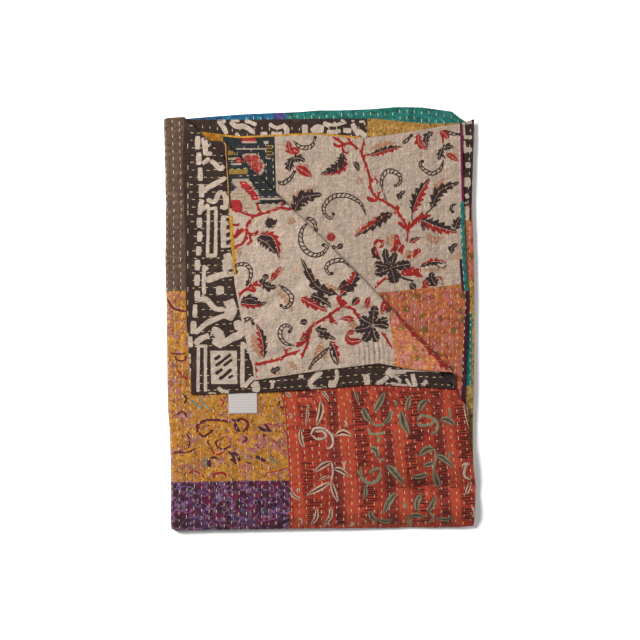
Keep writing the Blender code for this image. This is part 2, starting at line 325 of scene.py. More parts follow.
def settled(points):
    """Presses the stack thinner at its edges, lets it swell along the ridge and in soft rises, creases it,
    and sets it over the origin with its underside lying flat at Z 0."""
    x, y = points[:, 0], points[:, 1]
    left, right, near, far = BOX
    beyond, _ = hinge_place(points)
    ridge = UNDER_LAG + UNDER_SPREAD * (TOP_BEND + PITCH)
    fullness = (
        1
        - NEAR_PRESS * (1 - eased(y - near, 0, NEAR_PRESS_REACH))
        - FAR_PRESS * (1 - eased(far - y, 0, FAR_PRESS_REACH))
        - SIDE_PRESS * (1 - eased(np.minimum(x - left, right - x), 0, SIDE_PRESS_REACH))
        + SWELL * np.sin(2 * math.pi * x / SWELL_ACROSS) * np.sin(2 * math.pi * y / SWELL_ALONG)
        + RIDGE_SWELL * np.exp(-(((beyond - ridge) / RIDGE_REACH) ** 2))
        - creased(x, y)
    )
    height = (points[:, 2] - UNDERSIDE) * fullness
    # Half the sum of a height and its rounded-off size: a height below the floor comes out on it.
    on_floor = (height + np.hypot(height, FLOOR_SOFT)) / 2
    return np.stack([x - MIDDLE[0], y - MIDDLE[1], on_floor], axis=1)


WAVE_TURN = DRAW.uniform(0, math.pi, CRINKLE_WAVES)
WAVE_NUMBER = 2 * math.pi / DRAW.uniform(*CRINKLE_LENGTHS, CRINKLE_WAVES)
WAVE_START = DRAW.uniform(0, 2 * math.pi, CRINKLE_WAVES)


def crinkled(s, t):
    """The cloth's small unevenness: the sum of seeded sine waves in all directions, with the gathers as a
    short stretch of round-topped ridges with sharp dips between them."""
    waves = sum(
        np.sin(number * (s * math.cos(turn) + t * math.sin(turn)) + start)
        for turn, number, start in zip(WAVE_TURN, WAVE_NUMBER, WAVE_START)
    )
    bell = np.exp(
        -(((s - GATHER_MIDDLE[0]) / GATHER_REACH[0]) ** 2) - ((t - GATHER_MIDDLE[1]) / GATHER_REACH[1]) ** 2
    )
    gathers = GATHER_HEIGHT * bell * (2 * np.abs(np.sin(math.pi * t / GATHER_LENGTH)) - GATHER_SUNK)
    return CRINKLE * waves / math.sqrt(CRINKLE_WAVES) * CRINKLE_SPREAD + gathers


def half_thickness(s, t):
    """Half the cloth's thickness: pinched straight down to each stitch row, and rounded off at the hems."""
    from_row = np.abs((s / ROW) % 1 - 0.5) * ROW
    pinch = ROW_PINCH * np.interp(from_row, (0, ROW / 4, ROW / 2), (1, PINCH_QUARTER, 0))
    edge = np.minimum(np.minimum(s, SHEET_LENGTH - s), np.minimum(t, SHEET_WIDTH - t))
    rounded = np.sqrt(1 - (1 - share(edge, -EDGE_BLUNT, EDGE_ROUND)) ** 2)
    return (HALF - pinch) * rounded


def laid(s, t, side, lift=0.0):
    """Places on the folded quilt, in metres, for flat places on its face (side 1) or its back (side -1)."""
    shape = s.shape
    s, t = s.ravel(), t.ravel()
    w = side * (half_thickness(s, t) + lift) + crinkled(s, t)
    return (settled(turned(folded(s, t, w), s, t)) * MM).reshape(*shape, 3)


# ---------------------------------------------------------------------------------------------------------
# Finishes.


def linear(hex_colour):
    """An sRGB hex colour as linear red, green, blue and alpha."""
    parts = [int(hex_colour[i : i + 2], 16) / 255 for i in (1, 3, 5)]
    return (*(c / 12.92 if c <= 0.04045 else ((c + 0.055) / 1.055) ** 2.4 for c in parts), 1.0)


def add(tree, kind, inputs=None, stops=None, **settings):
    """Adds a node: settings are its properties, stops the colours or greys of its ramp, and inputs its
    sockets by name or number, each a value or another node's output."""
    made = tree.nodes.new(kind)
    for name, value in settings.items():
        setattr(made, name, value)
    for number, (place, colour) in enumerate(stops or ()):
        ramp = made.color_ramp.elements
        stop = ramp[number] if number < 2 else ramp.new(place)
        stop.position = place
        stop.color = linear(colour) if isinstance(colour, str) else (colour, colour, colour, 1)
    for socket, value in (inputs or {}).items():
        if isinstance(value, bpy.types.NodeSocket):
            tree.links.new(value, made.inputs[socket])
        else:
            made.inputs[socket].default_value = value
    return made


# Prints in the quilt. Each has its ground and the marks on it, in the order they were printed. Columns of
# a mark: colour, form, size in mm along and across the sheet, where it starts and how soft its edge is.
# Forms: blotch (islands of a soft noise), dot (round spots), vein (the outlines of a soft noise).
PRINTS = {
    "taupe silk": (
        "#4B382E",
        (("#5C483A", "blotch", 16, 9, 0.55, 0.06), ("#33251F", "blotch", 7, 5, 0.6, 0.05)),
    ),
    "mustard block print cotton": (
        "#96611D",
        (
            ("#A26E24", "blotch", 30, 22, 0.52, 0.08),
            ("#82503F", "blotch", 34, 28, 0.55, 0.1),
            ("#90605A", "blotch", 11, 9, 0.58, 0.05),
            ("#AE7C30", "blotch", 7, 9, 0.58, 0.05),
            ("#5C3135", "vein", 26, 24, 0.006, 0.006),
            ("#36161A", "dot", 6.4, 6.4, 0.18, 0.05),
        ),
    ),
    "plain mustard cotton": ("#8E6118", (("#784D13", "blotch", 12, 30, 0.5, 0.1),)),
    "purple paisley cotton": (
        "#351426",
        (
            ("#56142F", "blotch", 20, 21, 0.49, 0.08),
            ("#472B52", "blotch", 24, 22, 0.54, 0.1),
            ("#2C3648", "blotch", 13, 14, 0.58, 0.08),
            ("#6C4A68", "vein", 18, 18, 0.014, 0.02),
            ("#190A16", "blotch", 9, 9, 0.6, 0.05),
            ("#6B5970", "dot", 14, 14, 0.16, 0.08),
        ),
    ),
    "orange rose cotton": (
        "#96502D",
        (
            ("#955248", "blotch", 24, 22, 0.47, 0.07),
            ("#A0642A", "blotch", 13, 11, 0.57, 0.06),
            ("#5E4A1E", "dot", 30, 28, 0.2, 0.08),
            ("#6B2C20", "vein", 24, 24, 0.009, 0.008),
            ("#7A3B22", "blotch", 7, 9, 0.6, 0.05),
        ),
    ),
    # The orange rose cotton again, painted lighter for the turned corner: painted light, standing in for the
    # brighter light on the flap.
    "pale rose cotton": (
        "#A9643F",
        (
            ("#AD6B62", "blotch", 24, 22, 0.49, 0.07),
            ("#B98038", "blotch", 13, 11, 0.56, 0.06),
            ("#745924", "dot", 26, 24, 0.2, 0.1),
            ("#823D2B", "vein", 16, 16, 0.01, 0.008),
            ("#93482E", "blotch", 7, 9, 0.6, 0.05),
        ),
    ),
    "teal cotton": (
        "#185C55",
        (("#0F4842", "blotch", 14, 9, 0.52, 0.05), ("#30766D", "blotch", 8, 5, 0.6, 0.05)),
    ),
    "blue cotton": (
        "#114D6C",
        (("#183155", "blotch", 14, 10, 0.52, 0.05), ("#256674", "blotch", 8, 6, 0.58, 0.05)),
    ),
    "violet cotton": ("#33315E", (("#483A6F", "blotch", 8, 7, 0.52, 0.05),)),
    "gold cotton": (
        "#846029",
        (
            ("#956F35", "blotch", 12, 8, 0.5, 0.05),
            ("#2A1F16", "blotch", 3.2, 7.5, 0.62, 0.03),
            ("#5C301D", "blotch", 6, 6, 0.64, 0.03),
        ),
    ),
    "straw cotton": (
        "#8E713D",
        (("#745727", "blotch", 16, 10, 0.52, 0.06), ("#4B3D22", "vein", 26, 26, 0.01, 0.008)),
    ),
    "yellow binding": ("#A17422", (("#895C18", "blotch", 8, 8, 0.52, 0.06),)),
    "magenta binding": ("#610F38", (("#480A29", "blotch", 8, 8, 0.55, 0.06),)),
    "teal binding": ("#1B5E59", (("#0F4843", "blotch", 8, 8, 0.55, 0.06),)),
    "maroon binding": ("#310A1F", (("#49142B", "blotch", 8, 8, 0.55, 0.06),)),
    "linen ground": (
        "#958273",
        (
            ("#A08E80", "blotch", 26, 3.2, 0.52, 0.12),
            ("#877467", "blotch", 3.0, 15, 0.58, 0.1),
            ("#997861", "blotch", 60, 50, 0.64, 0.06),
        ),
    ),
    # The linen ground again, painted lighter for the turned corner: painted light, standing in for the
    # brighter light on the flap.
    "pale linen ground": (
        "#9C897A",
        (
            ("#A79587", "blotch", 26, 3.2, 0.52, 0.12),
            ("#8E7B6E", "blotch", 3.0, 15, 0.58, 0.1),
            ("#A07F68", "blotch", 60, 50, 0.64, 0.06),
        ),
    ),
    "batik cotton": ("#2A1C17", (("#352722", "blotch", 18, 18, 0.55, 0.08),)),
    "slate ikat cotton": ("#1B1D1E", (("#26282A", "blotch", 3, 20, 0.55, 0.06),)),
    "rust striped cotton": (
        "#8A2C1C",
        (
            ("#983A25", "blotch", 60, 90, 0.5, 0.1),
            ("#722318", "blotch", 9, 12, 0.53, 0.06),
            ("#5B1813", "blotch", 3.2, 9, 0.61, 0.04),
        ),
    ),
}

# Each mark's noise starts this much further on than the one before it, so that no two run alike.
NOISE_START = (3.7, 1.9, 5.3)
# Thread spacing is about 0.6 mm, drawn at this size so that the weave shows.
WEAVE = 1.9
# How deep the weave and the small wrinkles look, in metres.
WEAVE_DEPTH, WRINKLE_DEPTH = 0.0004, 0.0062
# The length at which a wave texture of scale 1 repeats.
WAVE_REPEAT = math.pi / 10


def printed_marks(tree, place, ground, marks):
    """Lays each mark of a print over the colours before it."""
    colour = add(tree, "ShaderNodeRGB")
    colour.outputs[0].default_value = linear(ground)
    colour = colour.outputs[0]
    for number, (mark, form, along, across, start, soft) in enumerate(marks):
        sized = add(
            tree,
            "ShaderNodeVectorMath",
            {0: place, 1: (1 / along, 1 / across, 1), 2: tuple(part * number for part in NOISE_START)},
            operation="MULTIPLY_ADD",
        ).outputs[0]
        if form == "dot":
            value = add(tree, "ShaderNodeTexVoronoi", {"Vector": sized, "Scale": 1.0}).outputs["Distance"]
            stops = ((start, 1.0), (start + soft, 0.0))
        else:
            value = add(tree, "ShaderNodeTexNoise", {"Vector": sized, "Scale": 1.0, "Detail": 3.0}).outputs[0]
            stops = ((start, 0.0), (start + soft, 1.0))
        if form == "vein":
            off = add(tree, "ShaderNodeMath", {0: value, 1: 0.5}, operation="SUBTRACT").outputs[0]
            value = add(tree, "ShaderNodeMath", {0: off}, operation="ABSOLUTE").outputs[0]
            stops = ((start, 1.0), (start + soft, 0.0))
        mask = add(tree, "ShaderNodeValToRGB", {0: value}, stops).outputs[0]
        # The colours of a mix go in at its sockets 6 and 7, and come out at 2.
        laid_over = {0: mask, 6: colour, 7: linear(mark)}
        colour = add(tree, "ShaderNodeMix", laid_over, data_type="RGBA").outputs[2]
    return colour


def cloth_material(name):
    """An empty material, its nodes, and the place on the flat cloth in millimetres to draw its pattern by."""
    material = bpy.data.materials.new(name)
    material.use_nodes = True
    tree = material.node_tree
    tree.nodes.clear()
    flat = add(tree, "ShaderNodeUVMap", uv_map="cloth").outputs[0]
    place = add(tree, "ShaderNodeVectorMath", {0: flat, "Scale": 1 / MM}, operation="SCALE").outputs[0]
    return material, tree, place


def woven(name, ground, marks=()):
    """A plain woven, block printed cotton: matt, with a faint weave, a soft unevenness of tone that is
    partly wear and partly painted crinkle shade, and a nap that catches light at the edges. Its ground and
    marks are laid out on the flat cloth, in millimetres."""
    material, tree, place = cloth_material(name)
    colour = printed_marks(tree, place, ground, marks)

    # Warp and weft as two sets of ridges, and threads of uneven strength.
    ridges = []
    for direction in ("X", "Y"):
        wave = add(
            tree,
            "ShaderNodeTexWave",
            {
                "Vector": place,
                "Scale": WAVE_REPEAT / WEAVE,
                "Distortion": 0.6,
                "Detail": 1.0,
                "Detail Scale": 0.4,
            },
            wave_type="BANDS",
            bands_direction=direction,
        )
        ridges.append(wave.outputs["Fac"])
    weave = add(tree, "ShaderNodeMath", {0: ridges[0], 1: ridges[1]}, operation="ADD").outputs[0]
    # Wrinkles about 9 mm apart, and places of more and less wear about 22 mm apart, whose lighter and darker
    # tones also paint in the shade of the crinkles.
    wrinkle = add(
        tree, "ShaderNodeTexNoise", {"Vector": place, "Scale": 0.11, "Detail": 4.0, "Roughness": 0.7}
    ).outputs[0]
    wear_and_shade_noise = add(
        tree, "ShaderNodeTexNoise", {"Vector": place, "Scale": 0.045, "Detail": 6.0, "Roughness": 0.72}
    ).outputs[0]
    # A range's sockets: 0 its value, 1 and 2 the range it comes from, 3 and 4 the range it is brought to.
    # Painted shade: the colour is made darker and lighter in soft patches, partly as wear and partly as the
    # shade of crinkles.
    wear_and_painted_shade = add(tree, "ShaderNodeMapRange", {0: wear_and_shade_noise, 1: 0.3, 2: 0.7, 3: 0.74, 4: 1.2}).outputs[0]
    thread = add(tree, "ShaderNodeMapRange", {0: weave, 1: 0.0, 2: 2.0, 3: 0.9, 4: 1.08}).outputs[0]
    value = add(tree, "ShaderNodeMath", {0: wear_and_painted_shade, 1: thread}, operation="MULTIPLY").outputs[0]
    colour = add(tree, "ShaderNodeHueSaturation", {"Value": value, "Color": colour}).outputs[0]

    weave_bump = add(
        tree, "ShaderNodeBump", {"Strength": 0.25, "Distance": WEAVE_DEPTH, "Height": weave}
    ).outputs[0]
    bump = add(
        tree,
        "ShaderNodeBump",
        {"Strength": 1.0, "Distance": WRINKLE_DEPTH, "Height": wrinkle, "Normal": weave_bump},
    ).outputs[0]
    shader = add(
        tree,
        "ShaderNodeBsdfPrincipled",
        {
            "Base Color": colour,
            "Roughness": 0.85,
            "Specular IOR Level": 0.2,
            "Sheen Weight": 0.05,
            "Sheen Roughness": 0.45,
            "Normal": bump,
        },
    )
    add(tree, "ShaderNodeOutputMaterial", {0: shader.outputs[0]})
    return material


CLOTHS = {name: woven(name, ground, marks) for name, (ground, marks) in PRINTS.items()}

# ---------------------------------------------------------------------------------------------------------
# Where each cloth is pieced in, on the flat sheet. Later rows lie over earlier ones. Columns: cloth, side,
# then its stretch of the sheet's length and of its width.
TOP = 3 * WIDE
ALL = 9999.0
# Seams that run across the sheet: in the top pair, in the second pair and in the lower pairs.
BAND_SEAM, RUST_SEAM, IKAT_SEAM = TOP - 60, TOP + 226, TOP + 248
LINEN_SEAM, MUSTARD_SEAM = 365, 466
BLUE_SEAM, VIOLET_SEAM, TEAL_SEAM, UNDERSIDE_SEAM = WIDE + 20, WIDE + 198, WIDE + 222, 2 * WIDE + 260
# Seams that run along it: in the outer ply, round the near fold, in the inner ply and on the underside.
TAUPE_SEAM, PURPLE_SEAM, NEAR_SEAM = 320, 671, DEEP + 40
ROSE_SEAM, FLAP_SEAM = 1220, 1226
PAISLEY_SEAM, STRAW_SEAM = 380, 420
PATCHES = (
    ("mustard block print cotton", 1, 0, ALL, 0, ALL),
    ("batik cotton", -1, 0, ALL, 0, ALL),
    # The top layer, and the flap under it.
    ("rust striped cotton", 1, RUST_SEAM, ALL, 0, NEAR_SEAM),
    ("taupe silk", 1, BAND_SEAM, RUST_SEAM, 0, TAUPE_SEAM),
    ("mustard block print cotton", 1, BAND_SEAM, RUST_SEAM, TAUPE_SEAM, PURPLE_SEAM),
    ("purple paisley cotton", 1, BAND_SEAM, RUST_SEAM, PURPLE_SEAM, NEAR_SEAM),
    ("pale rose cotton", 1, BAND_SEAM, ALL, NEAR_SEAM, FLAP_SEAM),
    ("slate ikat cotton", 1, BAND_SEAM, IKAT_SEAM, FLAP_SEAM, ALL),
    ("pale linen ground", 1, IKAT_SEAM, ALL, FLAP_SEAM, ALL),
    # The second pair.
    ("orange rose cotton", 1, 0, BLUE_SEAM, DEEP, ROSE_SEAM),
    ("linen ground", 1, 0, LINEN_SEAM, ROSE_SEAM, ALL),
    ("slate ikat cotton", 1, LINEN_SEAM, MUSTARD_SEAM, ROSE_SEAM, ALL),
    ("plain mustard cotton", 1, MUSTARD_SEAM, BLUE_SEAM, ROSE_SEAM, ALL),
    ("gold cotton", -1, 27, 200, 0, 190),
    ("gold cotton", -1, 0, 40, 300, 365),
    ("orange rose cotton", -1, 0, 40, 160, 300),
    ("straw cotton", -1, 0, 4, 330, DEEP),
    ("teal cotton", -1, 4, 40, 365, 500),
    ("straw cotton", -1, 4, 40, 500, DEEP),
    # The lower pairs.
    ("blue cotton", 1, BLUE_SEAM, VIOLET_SEAM, 0, DEEP),
    ("violet cotton", 1, VIOLET_SEAM, TEAL_SEAM, 0, DEEP),
    ("teal cotton", 1, TEAL_SEAM, 2 * WIDE, 0, DEEP),
    ("rust striped cotton", 1, 2 * WIDE, UNDERSIDE_SEAM, 0, STRAW_SEAM),
    ("straw cotton", 1, 2 * WIDE, UNDERSIDE_SEAM, STRAW_SEAM, NEAR_SEAM),
    ("teal cotton", 1, UNDERSIDE_SEAM, BAND_SEAM, PAISLEY_SEAM, NEAR_SEAM),
    ("purple paisley cotton", 1, UNDERSIDE_SEAM, BAND_SEAM, 0, PAISLEY_SEAM),
)
# Bound and turned-in edges, in the columns of the patches.
BINDINGS = (
    ("yellow binding", 1, 200, MUSTARD_SEAM, SHEET_WIDTH - 3.8, ALL),
    ("yellow binding", 1, TOP, TOP + 262, SHEET_WIDTH - 1.5, ALL),
    ("yellow binding", 1, TOP + 262, TOP + 372, SHEET_WIDTH - 7.5, ALL),
    ("magenta binding", 1, 0, 4.5, 1376, ALL),
    ("maroon binding", 1, 0, 13.0, 1206, 1268),
    ("maroon binding", 1, 0, 7.5, DEEP, 1206),
    ("teal binding", 1, 0, 8.0, 1206, 1376),
)


def cloth_at(side, s, t):
    """The number of the cloth at flat places on the face or the back, in the order of CLOTHS."""
    names = list(CLOTHS)
    number = np.zeros(s.shape, int)
    for name, patch_side, s_from, s_to, t_from, t_to in PATCHES + BINDINGS:
        inside = (side == patch_side) & (s >= s_from) & (s <= s_to) & (t >= t_from) & (t <= t_to)
        number[inside] = names.index(name)
    return number


def stations(*stretches, kept=()):
    """Places along the flat sheet. Each stretch gives its start, end and step, and a kept place takes the
    place of any that is closer to it than half a step."""
    places = []
    for start, end, step in stretches:
        count = max(1, round((end - start) / step))
        places.append(np.linspace(start, end, count + 1))
    places = np.unique(np.round(np.concatenate(places), 4))
    for seam in kept:
        if places[0] < seam < places[-1]:
            step = np.diff(places)[np.abs(places[:-1] - seam).argmin()]
            near = np.abs(places - seam) < step * 0.5
            near[[0, -1]] = False
            places = np.sort(np.append(places[~near], seam))
    return places


def finish_mesh(name, verts, faces, cloth_uv=None, cloths=None, materials=()):
    """Makes an object of arrays of points and of triangles or quads, shaded smooth."""
    mesh = bpy.data.meshes.new(name)
    count, corners = faces.shape
    mesh.vertices.add(len(verts))
    mesh.vertices.foreach_set("co", np.ascontiguousarray(verts, dtype=np.float32).ravel())
    mesh.loops.add(count * corners)
    mesh.loops.foreach_set("vertex_index", np.ascontiguousarray(faces, dtype=np.int32).ravel())
    mesh.polygons.add(count)
    mesh.polygons.foreach_set("loop_start", np.arange(0, count * corners, corners, dtype=np.int32))
    mesh.update(calc_edges=True)
    mesh.polygons.foreach_set("use_smooth", np.ones(count, bool))
    if cloth_uv is not None:
        layer = mesh.uv_layers.new(name="cloth")
        layer.data.foreach_set("uv", np.ascontiguousarray(cloth_uv[faces], dtype=np.float32).ravel())
    for material in materials:
        mesh.materials.append(material)
    if cloths is not None:
        mesh.polygons.foreach_set("material_index", cloths.astype(np.int32))
    mesh.validate()
    made = bpy.data.objects.new(name, mesh)
    bpy.context.scene.collection.objects.link(made)
    return made


def cell_corners(number):
    """The four corners of every cell of a grid of numbers, in their order round it."""
    return number[:-1, :-1], number[1:, :-1], number[1:, 1:], number[:-1, 1:]


def border(number):
    """The numbers round the edge of a grid, and the next one after each."""
    loop = np.concatenate([number[:-1, 0], number[-1, :-1], number[:0:-1, -1], number[0, :0:-1]])
    return loop, np.roll(loop, -1)


def thick_sheet(name, s_places, t_places):
    """A length of the quilt as a closed sheet: a face and a back on one grid of flat places, joined by a rim
    all round.

    Each cell is split into two triangles along the diagonal that runs with the turned corner's hinge.
    """
    s, t = np.meshgrid(s_places, t_places, indexing="ij")
    verts = np.concatenate([laid(s, t, side).reshape(-1, 3) for side in (1, -1)])
    number = np.arange(s.size).reshape(s.shape)
    a, b, c, d = cell_corners(number)
    middle_s = (s[:-1, :-1] + s[1:, 1:]) / 2
    middle_t = (t[:-1, :-1] + t[1:, 1:]) / 2
    inner_ply = (middle_t > DEEP)[..., None]
    first = np.where(inner_ply, np.stack([a, b, d], -1), np.stack([a, b, c], -1)).reshape(-1, 3)
    second = np.where(inner_ply, np.stack([b, c, d], -1), np.stack([a, c, d], -1)).reshape(-1, 3)
    back = np.concatenate([first, second]) + s.size
    face = np.concatenate([first, second])[:, ::-1]

    loop, after = border(number)
    rim_first = np.stack([loop, after, after + s.size], -1)
    rim_second = np.stack([loop, after + s.size, loop + s.size], -1)
    faces = np.concatenate([face, back, rim_first, rim_second])

    flat = np.stack([s.ravel(), t.ravel()], -1)
    faced = cloth_at(1, middle_s, middle_t).ravel()
    backed = cloth_at(-1, middle_s, middle_t).ravel()
    edge = cloth_at(1, flat[loop, 0], flat[loop, 1])
    cloths = np.concatenate([faced, faced, backed, backed, edge, edge])
    return finish_mesh(name, verts, faces, np.concatenate([flat, flat]) * MM, cloths, list(CLOTHS.values()))


SEAMS_S = sorted({value for row in PATCHES + BINDINGS for value in row[2:4]})
SEAMS_T = sorted({value for row in PATCHES + BINDINGS for value in row[4:6]})
# The finest step, four to a row of stitches.
FINE = ROW / 4
# The top pair and the lower pairs part on the underside, this far before the last fold.
SPLIT_OFF = 12.0
SPLIT = TOP - fold_arc(FOLDS[2]) - SPLIT_OFF
# Stretches of finer steps: round a hem at either end, and round the near fold.
HEM_START = ((0, 0.4, 0.4), (0.4, EDGE_ROUND, 1.1), (EDGE_ROUND, HEM_BAND, 3.0))
WIDTH_END = tuple((SHEET_WIDTH - end, SHEET_WIDTH - start, step) for start, end, step in HEM_START)
LENGTH_END = tuple((SHEET_LENGTH - end, SHEET_LENGTH - start, step) for start, end, step in HEM_START)
NEAR_TURN = (DEEP - HEM_ARC, DEEP + HEM_ARC, 0.9)

# Steps across the width are small where the cloth shows and is folded, creased or gathered, and wide where
# it is flat or hidden.
top_rows = TOP + FINE * 5
quilt_top_pair = thick_sheet(
    "quilt_top_pair",
    stations((SPLIT, top_rows, 2.2), (top_rows, SHEET_LENGTH - HEM_BAND, FINE), *LENGTH_END, kept=SEAMS_S),
    stations(
        *HEM_START, (HEM_BAND, 74, 5.0), (74, 497, 14.0), (497, 640, 10.5), (640, 712, 3.4),
        (712, DEEP - HEM_ARC, 5.0), NEAR_TURN, (DEEP + HEM_ARC, 1030, 26.0), (1030, 1236, FINE),
        (1236, 1306, 1.9), (1306, SHEET_WIDTH - HEM_BAND, FINE), *WIDTH_END, kept=SEAMS_T,
    ),
)
second_fold = WIDE - fold_arc(FOLDS[0])
quilt_second_pair = thick_sheet(
    "quilt_second_pair",
    stations(*HEM_START, (HEM_BAND, second_fold, FINE), (second_fold, WIDE, 1.1), kept=SEAMS_S),
    stations(
        *HEM_START, (HEM_BAND, 74, 7.0), (74, DEEP - HEM_ARC, 18.0), NEAR_TURN, (DEEP + HEM_ARC, 1030, 20.0),
        (1030, SHEET_WIDTH - HEM_BAND, 7.0), *WIDTH_END, kept=SEAMS_T,
    ),
)
third_fold, lower_fold = WIDE + fold_arc(FOLDS[0]), fold_arc(FOLDS[1])
quilt_lower_pairs = thick_sheet(
    "quilt_lower_pairs",
    stations(
        (WIDE, third_fold, 1.1), (third_fold, 2 * WIDE - lower_fold, 14.0),
        (2 * WIDE - lower_fold, 2 * WIDE + lower_fold, 1.3), (2 * WIDE + lower_fold, SPLIT, FINE * 2),
        kept=SEAMS_S,
    ),
    stations(
        *HEM_START, (HEM_BAND, 74, 7.0), (74, DEEP - HEM_ARC, 12.0), NEAR_TURN,
        (DEEP + HEM_ARC, SHEET_WIDTH - HEM_BAND, 16.0), *WIDTH_END, kept=SEAMS_T,
    ),
)

# ---------------------------------------------------------------------------------------------------------
# Where what is seen from above lies on the flat sheet.

# The layers that show. Columns: pass of the folding, ply (0 outer, 1 inner), row of TURNED_LAYERS if it is
# turned, and the side that faces up.
SEEN = {
    "top": (3, 0, None, 1),
    "margin": (3, 0, 0, -1),
    "flap": (3, 1, 1, 1),
    "second": (0, 1, None, 1),
    "third": (0, 0, None, -1),
    "fourth": (1, 0, None, 1),
}


def found(layer, x, y):
    """The flat places s and t of what is seen at x and y on a layer: the folding undone.

    A turned layer is first mirrored back over its bend. Then s and t are the shares of the way between the
    layer's own side edges and between its near fold and far edge, read three times over, because each edge
    is measured along the other.
    """
    step, ply, bend_row, _ = SEEN[layer]
    place = np.stack([x, y], -1)
    if bend_row is not None:
        _, start, bend, spread, _ = TURNED_LAYERS[bend_row]
        beyond = (place - HINGE_POINT) @ HINGE_ACROSS
        place = place + (2 * start + bend_arc(bend, spread) - 2 * beyond)[..., None] * HINGE_ACROSS
    x, y = place[..., 0], place[..., 1]
    row = (OUTER_LAYERS, INNER_LAYERS)[ply][step]
    left_fold, inset = (FOLDS[0], LEFT_INNER_INSET) if step < 2 else (FOLDS[2], 0.0)
    left_arc, right_arc = fold_arc(left_fold), fold_arc(FOLDS[1]) if step in (1, 2) else 0.0
    rough_x, rough_y = x, y
    for _ in range(3):
        left = np.interp(rough_y, ALONG, LEFT_FOLD) + inset + fold_reach(left_fold)
        if step in (1, 2):
            right = np.interp(rough_y, ALONG, RIGHT_FOLD) - fold_reach(FOLDS[1])
        else:
            right = np.interp(rough_y, ALONG, RIGHT_EDGE[row])
        from_left = left_arc + (x - left) / (right - left) * (WIDE - left_arc - right_arc)
        near = np.interp(rough_x, ACROSS, NEAR_FOLD[step]) + HEM_REACH
        to_far = (y - near) / (np.interp(rough_x, ACROSS, FAR_EDGE[row]) - near)
        rough_x = ACROSS[0] + (ACROSS[-1] - ACROSS[0]) * from_left / WIDE
        rough_y = ALONG[0] + (ALONG[-1] - ALONG[0]) * to_far
    off = HEM_ARC + to_far * (DEEP - HEM_ARC)
    return step * WIDE + (from_left if step % 2 else WIDE - from_left), DEEP + (off if ply else -off)


# ---------------------------------------------------------------------------------------------------------
# Printed marks. Every mark is a ribbon of ink along a smooth path, seen from above in millimetres.

# Columns: colour, and how far the print stands off the cloth.
INKS = {
    "red": ("#7E1916", 0.20),
    "aubergine": ("#2A1B19", 0.26),
    "peach": ("#8C644A", 0.13),
    "cream": ("#9F8E80", 0.22),
    "sage": ("#696852", 0.22),
    "maroon": ("#4B1420", 0.24),
    "pink": ("#8E504B", 0.15),
    "dark": ("#25161B", 0.28),
    "plum": ("#38192A", 0.28),
    "rust shade": ("#3F110D", 0.17),
    "mauve": ("#70261D", 0.12),
    "bright rust": ("#963A24", 0.10),
    "rust core": ("#4B1811", 0.30),
    "sage core": ("#473127", 0.30),
    "pale leaf": ("#A28A76", 0.22),
    "slate": ("#16191D", 0.17),
    "dyed red": ("#851D1F", 0.24),
    "dyed cream": ("#8E7D6C", 0.20),
    "dyed gold": ("#785E27", 0.22),
    "slate navy": ("#25232B", 0.19),
    "mustard": ("#8E6118", 0.20),
}
INK_CLOTHS = {name: woven(name + " ink", ink) for name, (ink, _) in INKS.items()}
# Each mark of a print lies this much over the one before it.
INK_STEP = 0.0006
# The step along a mark's path, and the least side of a cell that is kept at the edge of its window.
STEP_ALONG, LEAST_CELL = 2.4, 0.05


def inked(inks, *rows):
    """Rows of a table that share their inks, which are named once, before them."""
    return tuple((*inks, *row) for row in rows)


# Columns: ink, width, and the path's points. Leaves: the inks of both halves, half width and teeth.
SECOND_STEMS = (
    ("red", 4.7, (84, 344), (80, 325), (79, 312), (86, 294), (94, 267), (95, 251), (101, 237),
     (110, 229), (122, 223), (138, 213), (148, 202), (155, 191), (161, 180), (165, 165), (165, 146)),
    ("red", 4.1, (80, 305), (86, 311), (95, 312)),
    ("red", 4.9, (22, 346), (34, 339), (45, 332), (54, 333), (62, 330), (73, 322)),
    ("red", 4.1, (50, 346), (56, 338), (62, 330)),
    ("red", 5.4, (25, 333), (34, 327), (45, 331)),
    ("red", 4.4, (45, 332), (43, 321), (47, 315), (54, 316)),
    ("red", 8.0, (165, 170), (170, 176), (180, 187), (191, 194), (209, 197)),
    ("red", 3.6, (96, 259), (101, 266), (108, 263), (107, 256)),
    ("red", 7.7, (89, 232), (96, 226), (108, 227)),
    ("red", 3.6, (110, 229), (111, 239), (119, 244)),
    ("aubergine", 1.7, (120, 241), (122, 232), (126, 224)),
    ("red", 6.7, (147, 184), (153, 180), (161, 172)),
    ("red", 6.7, (140, 200), (146, 208), (147, 215)),
    ("aubergine", 2.2, (174, 187), (173, 196), (176, 208)),
    ("aubergine", 2.2, (194, 197), (204, 204), (211, 211)),
    ("aubergine", 1.9, (187, 99), (202, 108), (217, 104), (230, 98), (241, 105)),
    ("red", 4.4, (103, 60), (114, 71), (125, 81)),
    ("aubergine", 3.7, (152, 82), (161, 77), (177, 74)),
    ("red", 3.1, (221, 82), (228, 79), (232, 65)),
    ("red", 4.1, (226, 355), (231, 344), (232, 333)),
    ("aubergine", 2.6, (236, 303), (232, 312)),
    ("red", 5.0, (113, 116), (106, 129), (103, 141), (107, 150), (115, 148), (118, 142), (115, 136)),
    ("red", 8.6, (145, 161), (144, 144), (141, 129)),
    ("red", 7.6, (159, 142), (148, 128)),
    ("red", 8.6, (190, 132), (176, 127)),
    ("red", 5.9, (172, 122), (164, 117)),
    ("red", 12.0, (153, 89), (171, 89), (190, 94)),
    ("aubergine", 5.7, (114, 114), (102, 123), (98, 135)),
)
